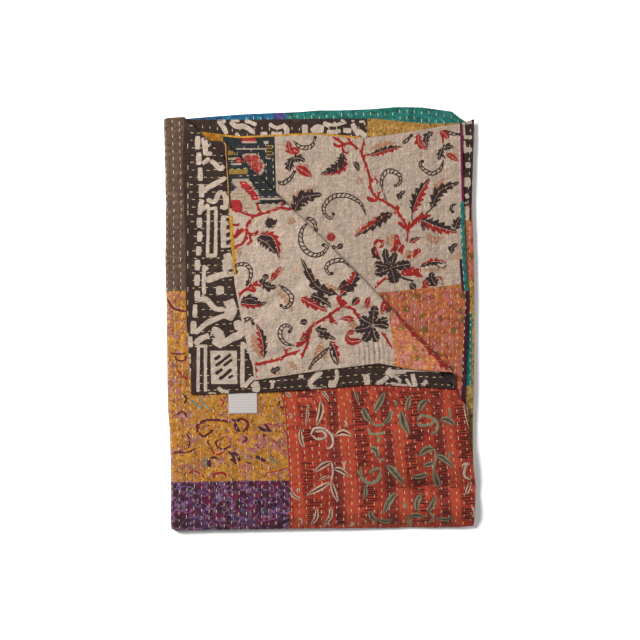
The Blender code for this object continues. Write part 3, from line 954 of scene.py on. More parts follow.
SECOND_LEAVES = (
    ("aubergine", "aubergine", 12.4, 7, (43, 316), (36, 292), (2, 275)),
    ("red", "aubergine", 11.8, 6, (46, 310), (39, 286), (2, 273)),
    ("aubergine", "aubergine", 19.1, 5, (-50, 204), (-32, 230), (4, 237)),
    ("aubergine", "aubergine", 11.8, 4, (-52, 307), (-58, 290), (-58, 280)),
    ("aubergine", "aubergine", 10.4, 3, (-52, 303), (-39, 305), (-28, 299)),
    ("red", "red", 8.2, 0, (-45, 289), (-30, 280), (-15, 269)),
    ("red", "red", 10.4, 2, (-52, 312), (-58, 324), (-60, 338)),
    ("red", "red", 7.7, 0, (-52, 322), (-45, 318), (-39, 315)),
    ("aubergine", "red", 9.4, 7, (94, 310), (123, 320), (155, 327)),
    ("red", "red", 10.0, 4, (185, 352), (187, 333), (203, 321)),
    ("aubergine", "aubergine", 8.8, 4, (213, 355), (200, 344), (202, 325)),
    ("red", "red", 10.0, 2, (226, 356), (236, 350), (241, 341)),
    ("aubergine", "aubergine", 8.8, 3, (230, 322), (241, 327), (252, 325)),
    ("aubergine", "aubergine", 8.2, 3, (231, 324), (226, 312), (223, 301)),
    ("red", "red", 5.0, 0, (237, 314), (249, 307), (263, 298)),
    ("aubergine", "red", 15.1, 6, (174, 202), (185, 234), (206, 267)),
    ("aubergine", "aubergine", 13.4, 6, (209, 209), (226, 243), (263, 260)),
    ("aubergine", "red", 12.8, 6, (137, 202), (105, 183), (64, 157)),
    ("aubergine", "aubergine", 10.4, 4, (135, 200), (118, 194), (101, 176)),
    ("aubergine", "red", 15.7, 6, (189, 189), (221, 176), (259, 165)),
    ("aubergine", "aubergine", 7.7, 3, (191, 185), (196, 176), (194, 168)),
    ("aubergine", "red", 6.7, 2, (168, 145), (178, 151), (189, 156)),
    ("red", "aubergine", 8.2, 6, (189, 101), (213, 110), (241, 108)),
    ("aubergine", "aubergine", 14.6, 3, (220, 64), (211, 77), (211, 91)),
    ("red", "red", 10.0, 2, (206, 62), (198, 67), (200, 77)),
    ("aubergine", "aubergine", 7.1, 1, (62, 298), (69, 292), (73, 280)),
    ("red", "red", 8.2, 0, (22, 148), (21, 157), (22, 165)),
    ("aubergine", "aubergine", 7.7, 1, (30, 137), (37, 138), (42, 145)),
    ("aubergine", "aubergine", 6.4, 1, (21, 138), (25, 137), (30, 137)),
    ("aubergine", "aubergine", 7.7, 2, (149, 226), (151, 236), (161, 244)),
    ("aubergine", "aubergine", 11.8, 3, (254, 170), (258, 183), (264, 194)),
    ("aubergine", "aubergine", 8.2, 2, (247, 125), (249, 137), (260, 144)),
    ("aubergine", "aubergine", 10.0, 1, (168, 67), (174, 64), (180, 58)),
)
# Columns: ink, half width, lobes, and the path's points.
SECOND_PETALS = inked(
    ("aubergine",),
    (14.2, 4, (134, 99), (124, 118), (123, 135)),
    (15.0, 4, (134, 99), (137, 113), (143, 128)),
    (21.1, 4, (134, 99), (154, 103), (171, 106)),
    (25.1, 4, (134, 99), (138, 83), (141, 69)),
    (19.2, 4, (134, 99), (117, 91), (103, 89)),
    (17.0, 4, (134, 99), (116, 103), (102, 106)),
    (11.5, 4, (134, 99), (146, 86), (151, 78)),
)
SECOND_ROPES = (
    (4.5, (-51, 338), (-37, 326), (-22, 325), (-12, 333), (-9, 344)),
    (4.5, (-80, 260), (-69, 258), (-56, 267), (-48, 280)),
    (4.9, (87, 197), (77, 219), (62, 230), (45, 235), (24, 232), (9, 217), (8, 202), (19, 192),
     (25, 200)),
    (4.1, (-28, 189), (-20, 191), (-11, 183), (-7, 170), (-9, 163)),
    (3.4, (155, 333), (163, 338), (172, 348)),
    (4.1, (233, 302), (226, 284), (211, 276), (196, 283), (188, 294), (193, 299)),
    (4.9, (118, 245), (116, 264), (125, 279), (138, 280), (151, 271), (150, 258), (142, 253)),
    (3.4, (235, 356), (249, 351), (264, 350)),
    (2.2, (257, 219), (249, 215), (246, 208), (250, 204)),
)
SECOND_SHADOWS = inked(
    ("peach",),
    (28.0, (94, 318), (120, 327), (144, 333)),
    (16.4, (-56, 215), (-37, 239), (-4, 247)),
    (16.4, (107, 172), (86, 176), (67, 166)),
    (14.0, (213, 232), (221, 254), (243, 269)),
    (18.8, (200, 165), (213, 150), (236, 157)),
    (23.4, (146, 138), (131, 150), (142, 163)),
    (18.8, (159, 131), (172, 123), (187, 131)),
    (9.4, (194, 94), (217, 95), (243, 97)),
    (9.4, (69, 256), (75, 266), (79, 258)),
    (14.0, (86, 172), (97, 183), (108, 194)),
    (9.4, (-41, 294), (-26, 290), (-17, 279)),
    (11.8, (243, 314), (254, 310), (264, 312)),
)
FLAP_STEMS = inked(
    ("red",),
    # The first row is a darker red strip along the ridge of the turned corner, drawn as a stem.
    (7.2, (137, 17), (157, -11), (198, -52), (226, -82), (237, -94)),
    (4.9, (-153, 201), (-140, 197), (-127, 193), (-116, 195), (-101, 200), (-88, 203), (-75, 207),
     (-64, 204), (-50, 205)),
    (4.1, (-112, 197), (-117, 206), (-122, 217)),
    (3.6, (-75, 207), (-74, 213), (-75, 219)),
    (4.9, (-125, 192), (-137, 179), (-138, 165), (-141, 151), (-147, 142), (-161, 137)),
    (5.9, (-138, 165), (-132, 159), (-122, 160), (-118, 166)),
    (4.4, (-133, 157), (-131, 147), (-138, 139)),
    (7.7, (-162, 153), (-153, 162), (-144, 170)),
    (4.4, (-165, 178), (-159, 177), (-152, 176)),
    (4.9, (-154, 39), (-148, 50), (-138, 58), (-127, 64), (-109, 66)),
    (5.4, (-127, 56), (-122, 65), (-118, 74)),
    (5.4, (-135, 57), (-127, 55), (-120, 54)),
    (5.2, (-37, -57), (-50, -62), (-62, -66), (-73, -72), (-88, -77), (-101, -79), (-114, -83),
     (-126, -84)),
    (4.4, (-62, -67), (-63, -58), (-54, -53)),
    (4.4, (-123, -86), (-120, -95), (-122, -105), (-112, -111)),
    (4.9, (-37, -36), (-26, -25), (-16, -13), (0, -2), (16, 7), (30, 18), (42, 24)),
    (10.1, (31, 43), (36, 32), (42, 22)),
    (4.9, (42, 23), (54, 20), (65, 15)),
    (4.9, (-15, -11), (-20, -26), (-23, -43), (-30, -60), (-34, -73)),
    (7.2, (-19, -24), (-30, -41), (-45, -50)),
    (8.0, (16, 7), (21, 0), (19, -7)),
    (5.4, (60, 15), (67, 7), (73, -1)),
    (4.3, (111, -24), (122, -37), (133, -56)),
) + inked(
    ("aubergine",),
    (1.7, (-17, 37), (0, 25), (24, 22)),
    (2.1, (32, 43), (21, 49), (4, 54)),
    (2.6, (34, -86), (22, -71), (18, -52)),
    (1.9, (-37, -39), (-28, -34), (-21, -26)),
    (3.0, (-138, 63), (-137, 69), (-133, 77)),
)
FLAP_LEAVES = (
    ("red", "aubergine", 11.9, 7, (-116, 159), (-90, 151), (-77, 112)),
    ("aubergine", "aubergine", 12.2, 6, (-120, 153), (-101, 142), (-84, 122)),
    ("aubergine", "aubergine", 14.2, 2, (-90, 170), (-95, 180), (-101, 185)),
    ("aubergine", "aubergine", 11.9, 2, (-106, 180), (-97, 180), (-88, 183)),
    ("red", "red", 7.3, 2, (-93, 71), (-84, 86), (-74, 99)),
    ("aubergine", "aubergine", 7.8, 1, (-108, 79), (-103, 81), (-97, 77)),
    ("aubergine", "aubergine", 11.9, 3, (-107, 69), (-97, 62), (-82, 62)),
    ("aubergine", "aubergine", 9.6, 2, (-110, 65), (-107, 73), (-105, 77)),
    ("aubergine", "red", 10.7, 5, (-151, 32), (-127, 29), (-99, 32)),
    ("aubergine", "aubergine", 9.6, 4, (-148, 36), (-129, 40), (-107, 26)),
    ("red", "aubergine", 11.3, 5, (-105, -72), (-108, -37), (-119, -7)),
    ("aubergine", "aubergine", 8.4, 2, (-93, -97), (-84, -94), (-74, -88)),
    ("aubergine", "aubergine", 11.9, 5, (30, 45), (-9, 62), (-39, 114)),
    ("red", "aubergine", 13.4, 6, (34, 41), (58, 69), (64, 94)),
    ("red", "aubergine", 10.1, 4, (64, 92), (62, 108), (54, 128)),
    ("aubergine", "aubergine", 5.5, 1, (64, 92), (69, 93), (75, 97)),
    ("aubergine", "aubergine", 13.0, 5, (-19, 45), (-2, 39), (19, 25)),
    ("red", "red", 12.2, 4, (-37, 41), (-17, 30), (13, 15)),
    ("aubergine", "aubergine", 10.1, 3, (-9, -17), (4, -21), (17, -36)),
    ("aubergine", "aubergine", 9.0, 3, (-4, -30), (11, -30), (30, -37)),
    ("red", "aubergine", 9.6, 4, (19, -39), (28, -56), (35, -84)),
    ("aubergine", "aubergine", 11.3, 2, (30, 54), (47, 62), (60, 49)),
    ("aubergine", "red", 9.6, 1, (57, 24), (64, 32), (70, 39)),
    ("aubergine", "aubergine", 9.0, 1, (-37, -7), (-31, -4), (-24, -6)),
    ("red", "red", 7.3, 1, (36, 0), (50, 1), (64, -2)),
    ("red", "red", 9.6, 1, (47, -28), (56, -41), (79, -39)),
    ("red", "red", 7.3, 1, (50, -32), (56, -24), (64, -26)),
    ("red", "red", 6.7, 1, (86, 17), (85, 30), (90, 41)),
    ("red", "red", 8.4, 1, (112, 7), (116, 22), (120, 37)),
    ("red", "red", 6.7, 1, (123, 11), (122, 26), (125, 37)),
    ("aubergine", "aubergine", 6.1, 1, (120, 9), (127, 19), (137, 26)),
)
FLAP_PETALS = inked(
    ("aubergine",),
    (20.3, 4, (96, -11), (97, 6), (100, 24)),
    (19.0, 4, (96, -11), (82, -4), (73, 3)),
    (17.7, 4, (95, -13), (80, -18), (63, -20)),
    (19.0, 4, (95, -15), (88, -31), (80, -41)),
    (19.0, 4, (96, -15), (100, -31), (106, -42)),
    (16.2, 4, (97, -13), (112, -11), (126, -16)),
    (13.6, 4, (99, -10), (112, -4), (125, -2)),
)
FLAP_ROPES = (
    (5.2, (-25, 180), (-36, 168), (-40, 151), (-36, 135), (-24, 122), (-9, 118), (3, 123), (9, 132),
     (2, 137)),
    (4.5, (52, 94), (43, 105), (29, 108), (14, 103), (8, 94), (13, 84), (19, 84)),
    (4.5, (-79, 66), (-65, 56), (-54, 43), (-56, 30), (-65, 23), (-73, 27)),
    (4.1, (-137, 64), (-131, 77), (-130, 92), (-138, 103), (-151, 104), (-160, 99), (-157, 90)),
    (4.5, (-48, -48), (-64, -44), (-74, -31), (-73, -17), (-64, -10), (-54, -15), (-57, -22)),
    (3.7, (-146, -21), (-148, -9), (-140, 0), (-130, 2), (-125, -7)),
    (3.7, (17, -51), (4, -64), (-13, -80), (-22, -97)),
)
FLAP_SHADOWS = inked(
    ("peach",),
    (16.4, (-60, 189), (-54, 181), (-64, 178)),
    (16.4, (-26, 97), (-11, 65), (11, 47)),
    (21.0, (-125, -26), (-120, -49), (-110, -71)),
    (18.8, (54, 4), (60, -11), (71, -15)),
    (14.0, (75, 19), (88, 26), (101, 19)),
    (16.4, (-4, -47), (7, -60), (11, -79)),
    (18.8, (-97, -108), (-75, -105), (-52, -107)),
    (14.0, (-60, -80), (-49, -86), (-43, -95)),
    (14.0, (-157, 137), (-151, 127), (-153, 116)),
    (11.8, (-90, 77), (-77, 88), (-67, 99)),
    (14.0, (-82, 56), (-60, 34), (-52, 15)),
    (14.0, (-7, 58), (13, 60), (36, 50)),
    (16.4, (4, -39), (-4, -60), (-15, -86)),
    (14.0, (120, 34), (133, 22), (127, -4)),
)
BATIK_STROKES = inked(
    ("cream",),
    (10.0, (-229, 345), (-230, 320)),
    (10.0, (-227, 314), (-228, 291)),
    (9.2, (-225, 286), (-224, 261)),
    (10.4, (-222, 255), (-222, 230)),
    (9.7, (-221, 226), (-223, 217), (-226, 199)),
    (10.4, (-226, 192), (-226, 173)),
    (10.0, (-225, 166), (-226, 147)),
    (10.0, (-227, 138), (-228, 121)),
    (9.2, (-229, 112), (-229, 95)),
    (10.4, (-219, 342), (-216, 330), (-214, 309)),
    (10.0, (-214, 335), (-207, 326)),
    (7.5, (-215, 312), (-202, 312)),
    (7.5, (-221, 293), (-213, 299), (-207, 303)),
    (9.4, (-205, 299), (-197, 293), (-188, 284), (-180, 289)),
    (9.4, (-221, 240), (-207, 250), (-192, 258), (-177, 267)),
    (8.7, (-212, 226), (-198, 222), (-190, 237), (-182, 240)),
    (9.4, (-182, 240), (-177, 228), (-177, 208)),
    (8.3, (-187, 212), (-175, 210)),
    (8.0, (-224, 205), (-208, 216)),
    (6.0, (-209, 210), (-211, 117)),
    (6.3, (-195, 210), (-196, 118)),
    (6.0, (-212, 208), (-193, 210)),
    (7.0, (-213, 121), (-194, 121)),
    (10.4, (-181, 196), (-181, 135)),
    (4.3, (-178, 194), (-171, 193)),
    (5.7, (-178, 180), (-171, 181)),
    (5.7, (-178, 165), (-170, 168)),
    (5.7, (-178, 151), (-168, 154)),
    (5.3, (-178, 138), (-167, 139)),
    (15.0, (-175, 125), (-171, 112), (-168, 98)),
    (5.7, (-182, 98), (-168, 105)),
    (10.0, (-230, 113), (-230, 93)),
    (10.4, (-230, 85), (-231, 64)),
    (10.4, (-230, 55), (-230, 35)),
    (8.6, (-234, 29), (-235, 5)),
    (10.7, (-237, -2), (-238, -26)),
    (9.0, (-244, -31), (-242, -51)),
    (7.3, (-246, -63), (-246, -82)),
    (6.2, (-245, -90), (-246, -110)),
    (6.2, (-245, -118), (-246, -134)),
    (7.3, (-217, 103), (-218, 70), (-217, 48)),
    (6.9, (-216, 94), (-210, 99)),
    (12.4, (-214, 74), (-195, 81), (-178, 86), (-161, 89)),
    (25.9, (-171, 115), (-169, 92)),
    (15.6, (-195, 56), (-180, 56)),
    (9.7, (-230, 37), (-214, 39), (-197, 22), (-178, 20)),
    (20.7, (-172, 37), (-166, 21), (-174, 1)),
    (9.7, (-234, -25), (-211, -5), (-195, 2), (-178, 9)),
    (17.3, (-161, -12), (-150, -10), (-142, -22)),
    (10.4, (-156, -25), (-142, -27)),
    (10.7, (-235, -45), (-223, -35), (-208, -29)),
    (22.5, (-204, -22), (-195, -25), (-189, -37), (-195, -49)),
    (13.8, (-185, -44), (-175, -40), (-161, -32), (-147, -28)),
    (5.9, (-228, -49), (-229, -135)),
    (6.2, (-215, -49), (-215, -134)),
    (6.2, (-232, -49), (-211, -49)),
    (8.0, (-145, -41), (-146, -127)),
    (6.2, (-142, -44), (-131, -62), (-128, -75)),
    (8.0, (-142, -126), (-133, -115), (-124, -107)),
    (8.0, (-192, -127), (-182, -134), (-171, -136)),
    (6.2, (-209, -138), (-195, -139)),
    (10.4, (-121, -117), (-116, -129)),
    (14.4, (-126, -118), (-120, -125), (-121, -135)),
    (11.8, (-89, -113), (-89, -118)),
    (6.6, (-89, -118), (-90, -128)),
    (6.6, (-40, -106), (-31, -106)),
    (10.5, (3, -96), (-9, -107), (-21, -118)),
    (9.2, (-21, -117), (-13, -128), (0, -131), (12, -127)),
    (14.4, (23, -113), (23, -128)),
    (7.3, (31, -94), (32, -107), (27, -121)),
    (11.3, (86, -102), (88, -113), (89, -124)),
    (4.5, (80, -103), (88, -110)),
    (13.4, (125, -94), (133, -100), (140, -104)),
    (5.4, (131, -99), (149, -99), (161, -98)),
    (8.9, (128, -106), (115, -116), (105, -123)),
    (6.0, (140, -105), (152, -115)),
    (6.9, (123, -119), (149, -122), (173, -126), (194, -129)),
    (4.5, (194, -129), (208, -129)),
    (8.9, (173, -101), (176, -113), (180, -125)),
    (5.4, (161, -110), (170, -123)),
    (7.8, (200, -113), (194, -121), (185, -127)),
    (3.3, (125, -94), (158, -95), (200, -95), (228, -98)),
) + inked(
    ("aubergine",),
    (6.2, (-198, -74), (-187, -67)),
    (5.6, (-196, -86), (-182, -76), (-167, -64)),
    (5.4, (-181, -86), (-165, -74)),
    (6.0, (-196, -101), (-183, -92)),
    (6.4, (-189, -111), (-178, -103), (-166, -92)),
    (5.2, (-172, -109), (-163, -104)),
) + inked(
    ("dark",),
    (3.5, (-207, -34), (-202, -31), (-197, -33)),
    (5.2, (-176, 88), (-161, 96)),
    # The last stroke is painted shade: a dark patch at the right end of the margin's batik, by the ridge of
    # the turned corner.
    (8.9, (224, -110), (241, -115), (258, -118)),
)
# Filled shapes. Columns: ink, how rough the ends of the threads are, and rows of the place along and the two
# ends across.
BATIK_SHAPES = (
    ("cream", 0.3, (-58, -206, -156), (-120, -204, -155)),
    ("mustard", 0.0, (352, -225, -225), (340, -212, -183), (317, -187, -186)),
)
THIRD_STROKES = inked(
    ("cream",),
    (9.6, (-194, 374), (-178, 376)),
    (8.9, (-189, 372), (-182, 363), (-176, 351)),
    (9.6, (-169, 375), (-159, 366), (-142, 365), (-124, 353)),
    (5.7, (-168, 377), (-152, 376)),
    (7.0, (-142, 376), (-131, 373), (-120, 368)),
    (7.4, (-158, 353), (-154, 344)),
    (13.7, (-106, 355), (-106, 344)),
    (7.0, (-96, 370), (-83, 363), (-69, 366)),
    (9.8, (-71, 369), (-63, 360), (-64, 347)),
    (7.0, (-92, 353), (-82, 351), (-71, 352)),
    (11.1, (-29, 369), (-28, 352)),
    (15.9, (-15, 354), (-5, 361), (7, 360)),
    (8.9, (7, 372), (19, 366)),
    (6.0, (6, 372), (17, 369), (28, 368), (41, 371)),
    (5.2, (27, 374), (29, 365)),
    (4.8, (39, 377), (47, 375)),
    (3.8, (41, 370), (50, 373)),
    (7.7, (13, 355), (27, 355), (39, 357)),
    (9.4, (44, 358), (59, 357)),
    (9.4, (61, 371), (67, 359), (73, 348)),
    (9.4, (69, 358), (77, 354), (87, 346)),
    (3.4, (59, 376), (65, 376)),
    (4.3, (74, 374), (83, 375)),
    (2.9, (83, 375), (85, 368)),
    (6.2, (275, 372), (287, 374)),
    (7.1, (271, 345), (287, 345)),
    (7.6, (270, 338), (275, 315)),
    (8.6, (271, 321), (287, 322)),
    (10.1, (279, 298), (280, 287)),
    (15.4, (276, 269), (278, 251)),
    (7.6, (275, 238), (280, 229)),
    (7.1, (273, 224), (275, 219)),
    (11.7, (276, 214), (275, 188)),
    (6.2, (270, 376), (271, 348)),
) + inked(
    ("dark",),
    (4.3, (272, 250), (283, 247)),
    (3.7, (283, 261), (284, 186)),
    (4.3, (271, 223), (282, 229)),
    (3.0, (270, 193), (275, 196)),
)
SECOND_DYED = (
    ("mustard", 0.0, (352, -225, -225), (340, -212, -183), (317, -187, -186)),
    ("dyed red", 1.0, (342, -148, -121), (337, -148, -120)),
    ("dyed cream", 1.2, (337, -147, -120), (333, -147, -120)),
    ("slate navy", 1.0, (331, -156, -103), (326, -156, -102)),
    ("dyed cream", 1.0, (324, -158, -101), (321, -158, -101)),
    ("dyed cream", 1.4, (314, -141, -121), (311, -144, -119)),
    ("dyed cream", 3.0, (311, -145, -116), (298, -140, -107), (289, -132, -104), (281, -125, -107),
     (273, -118, -113)),
    ("dyed red", 2.2, (310, -143, -117), (298, -139, -111), (291, -132, -107), (282, -125, -111),
     (275, -117, -115)),
    ("dyed cream", 0.8, (337, -106, -97), (332, -105, -97)),
    ("dyed cream", 0.6, (306, -101, -92), (303, -100, -92)),
    ("dyed red", 1.4, (251, -101, -92), (242, -100, -87), (236, -92, -85)),
    ("dyed cream", 1.6, (241, -105, -97), (235, -103, -86)),
    ("dyed gold", 0.5, (329, -101, -90), (327, -101, -90)),
    ("dyed gold", 0.5, (324, -101, -90), (322, -101, -90)),
    ("dyed gold", 0.5, (318, -101, -90), (316, -101, -90)),
    ("dyed gold", 0.5, (312, -101, -90), (310, -101, -90)),
)
FLAP_DYED = (
    ("dyed red", 2.4, (340, -186, -169), (334, -186, -162), (328, -185, -165), (320, -183, -168)),
    ("dyed cream", 2.0, (334, -175, -166), (330, -172, -162)),
    ("dyed gold", 1.6, (315, -184, -159), (307, -183, -157)),
    ("dyed cream", 1.2, (302, -178, -150), (298, -178, -150)),
    ("slate navy", 0.8, (297, -173, -162), (289, -172, -161)),
    ("dyed red", 1.2, (301, -161, -147), (293, -160, -146)),
    ("dyed cream", 1.0, (292, -168, -150), (288, -167, -150)),
    ("dyed gold", 1.2, (280, -173, -138), (271, -172, -137)),
    ("slate navy", 1.0, (270, -165, -136), (262, -165, -135)),
    ("dyed cream", 4.0, (262, -165, -138), (255, -165, -132), (246, -159, -126), (238, -170, -120),
     (229, -170, -116), (218, -172, -115)),
    ("dyed red", 2.6, (257, -155, -142), (249, -151, -132), (241, -143, -125), (232, -135, -120),
     (222, -129, -116)),
    ("slate navy", 0.8, (252, -168, -160), (243, -168, -159)),
    ("dyed gold", 1.0, (236, -165, -148), (234, -165, -147)),
    ("dyed gold", 1.0, (229, -156, -142), (227, -156, -136)),
    ("dyed red", 2.0, (223, -168, -153), (214, -168, -149), (206, -166, -146), (200, -162, -149)),
    ("dyed cream", 1.4, (218, -148, -122), (205, -146, -120)),
    ("dyed gold", 1.0, (214, -145, -129), (212, -145, -129)),
    ("dyed gold", 1.0, (209, -143, -128), (207, -143, -128)),
    ("slate navy", 0.8, (232, -116, -86), (226, -115, -86)),
    ("dyed cream", 0.8, (226, -114, -72), (222, -115, -71)),
    ("slate", 0.8, (221, -113, -63), (214, -113, -77)),
    ("dyed cream", 1.2, (214, -118, -77), (205, -118, -77)),
)
# Bands of the ground: as the filled shapes. Then the hatched columns: ink, width and path.
RUST_BANDS = inked(
    ("bright rust",),
    (1.4, (-120, -64, -47), (-243, -58, -39), (-318, -54, -34), (-389, -45, -22)),
    (1.4, (-127, 32, 58), (-243, 39, 65), (-299, 45, 69), (-389, 52, 79)),
    (1.4, (-165, 135, 155), (-243, 138, 159), (-280, 142, 161), (-389, 155, 174)),
    (1.4, (-131, 230, 245), (-206, 236, 251), (-299, 245, 262), (-389, 249, 267)),
) + inked(
    ("mauve",),
    (2.4, (-131, 11, 30), (-224, 17, 36), (-318, 22, 43), (-389, 30, 49)),
    (2.4, (-131, 107, 125), (-224, 122, 138), (-290, 120, 140), (-389, 129, 148)),
    (2.4, (-133, 206, 228), (-224, 215, 234), (-318, 226, 243), (-389, 230, 249)),
)
RUST_HATCHES = inked(
    ("rust shade",),
    (34.0, (-25, -131), (-22, -187), (-13, -243)),
    (24.0, (-21, -266), (-22, -307), (-15, -325)),
    (33.0, (-11, -329), (-10, -363), (-9, -387)),
    (15.0, (21, -133), (28, -224), (32, -337), (39, -385)),
    (27.0, (74, -135), (75, -183), (77, -234), (80, -277)),
    (31.0, (90, -307), (90, -337), (90, -385)),
    (15.0, (116, -135), (129, -224), (131, -299), (138, -385)),
    (15.0, (158, -133), (159, -165)),
    (26.0, (180, -135), (181, -196), (183, -228)),
    (23.0, (170, -232), (171, -252), (174, -280)),
    (28.0, (187, -295), (189, -327), (191, -385)),
    (16.0, (217, -133), (224, -224), (234, -318), (239, -385)),
    (24.0, (267, -157), (271, -196), (273, -234), (273, -262)),
    (21.0, (277, -322), (279, -352), (280, -378)),
)
RUST_LEAVES = inked(
    ("pale leaf", "rust core"),
    (8.1, (-37, -202), (-36, -223), (-30, -241)),
    (5.4, (-24, -157), (-24, -180), (-27, -200)),
    (11.5, (2, -151), (1, -174), (-7, -198)),
    (11.5, (27, -218), (43, -211), (60, -218)),
    (10.9, (22, -266), (6, -273), (-11, -286)),
    (10.3, (24, -280), (39, -282), (55, -295)),
    (5.4, (21, -295), (9, -296), (-4, -303)),
    (10.3, (19, -305), (0, -316), (-25, -329)),
    (9.7, (21, -303), (26, -322), (34, -342)),
    (7.1, (-61, -311), (-50, -329), (-36, -340)),
    (8.7, (-6, -353), (-7, -370), (-17, -387)),
    (8.1, (21, -350), (19, -370), (6, -391)),
    (8.1, (271, -155), (275, -172), (280, -204)),
    (8.7, (283, -305), (280, -318), (275, -329)),
    (7.1, (4, -133), (9, -140), (17, -148)),
    (6.5, (-65, -135), (-60, -140), (-52, -144)),
) + inked(
    ("sage", "sage core"),
    (11.8, (81, -163), (86, -180), (97, -193)),
    (11.8, (122, -135), (112, -155), (101, -174)),
    (8.2, (133, -172), (129, -187), (120, -194)),
    (14.4, (151, -170), (157, -193), (167, -215)),
    (9.3, (170, -142), (165, -157), (164, -170)),
    (12.5, (202, -150), (191, -159), (185, -174)),
    (12.5, (225, -188), (239, -187), (254, -198)),
    (11.2, (93, -239), (105, -245), (108, -260)),
    (12.5, (215, -242), (200, -243), (185, -256)),
    (11.2, (217, -254), (232, -260), (251, -277)),
    (9.3, (193, -274), (204, -271), (215, -267)),
    (13.2, (125, -272), (138, -284), (158, -309)),
    (12.5, (214, -284), (219, -301), (227, -320)),
    (12.5, (146, -324), (131, -340), (119, -364)),
    (11.2, (94, -357), (97, -370), (108, -380)),
    (11.2, (193, -326), (183, -342), (181, -359)),
    (10.7, (220, -331), (211, -348), (202, -361)),
    (10.7, (172, -295), (187, -294), (206, -289)),
    (9.3, (137, -376), (122, -380), (110, -374)),
    (9.3, (168, -368), (181, -367), (198, -372)),
    (8.2, (217, -372), (234, -376), (252, -372)),
    (6.8, (64, -133), (69, -144), (71, -155)),
    (8.2, (84, -310), (86, -324), (82, -337)),
)
RUST_STEMS = inked(
    ("cream",),
    (4.1, (-17, -215), (-11, -204), (4, -203), (17, -211), (24, -224), (22, -237), (13, -242)),
    (4.1, (-15, -217), (-4, -224), (11, -219), (4, -209), (-9, -210)),
    (3.2, (45, -189), (50, -194), (46, -200)),
    (3.0, (49, -264), (45, -273), (47, -280)),
    (3.2, (22, -267), (24, -286), (21, -303)),
    (3.0, (-58, -176), (-53, -180), (-57, -186)),
    (3.0, (-39, -316), (-43, -320), (-41, -325)),
    (4.6, (267, -272), (277, -270), (272, -280), (272, -294), (284, -301)),
    (3.5, (286, -352), (290, -361), (288, -372)),
    (3.0, (-37, -372), (-34, -378), (-36, -385)),
    (3.0, (58, -380), (64, -385), (56, -389)),
) + inked(
    ("sage",),
    (5.0, (96, -192), (105, -198), (114, -198), (121, -194)),
    (4.6, (89, -198), (94, -213), (108, -214), (123, -211)),
    (5.0, (183, -191), (189, -180), (206, -182), (213, -189), (208, -196), (189, -198),
     (183, -192)),
    (4.6, (213, -183), (221, -194), (219, -208), (208, -214)),
    (4.1, (140, -151), (144, -157), (140, -161)),
    (4.1, (241, -247), (244, -252), (240, -259)),
    (4.6, (108, -260), (114, -262), (122, -261)),
    (6.6, (77, -276), (76, -290), (84, -303), (97, -307), (110, -299), (114, -282)),
    (5.0, (92, -288), (101, -281), (112, -278)),
    (4.1, (157, -343), (161, -349), (157, -355)),
    (5.0, (108, -219), (112, -224), (108, -230)),
    (5.5, (170, -370), (166, -381), (174, -389)),
    (4.1, (215, -241), (217, -260), (213, -284), (217, -299)),
    (4.6, (206, -361), (213, -372), (206, -383)),
    (4.1, (243, -165), (243, -174), (245, -183)),
    (3.8, (137, -170), (133, -183), (129, -194)),
)
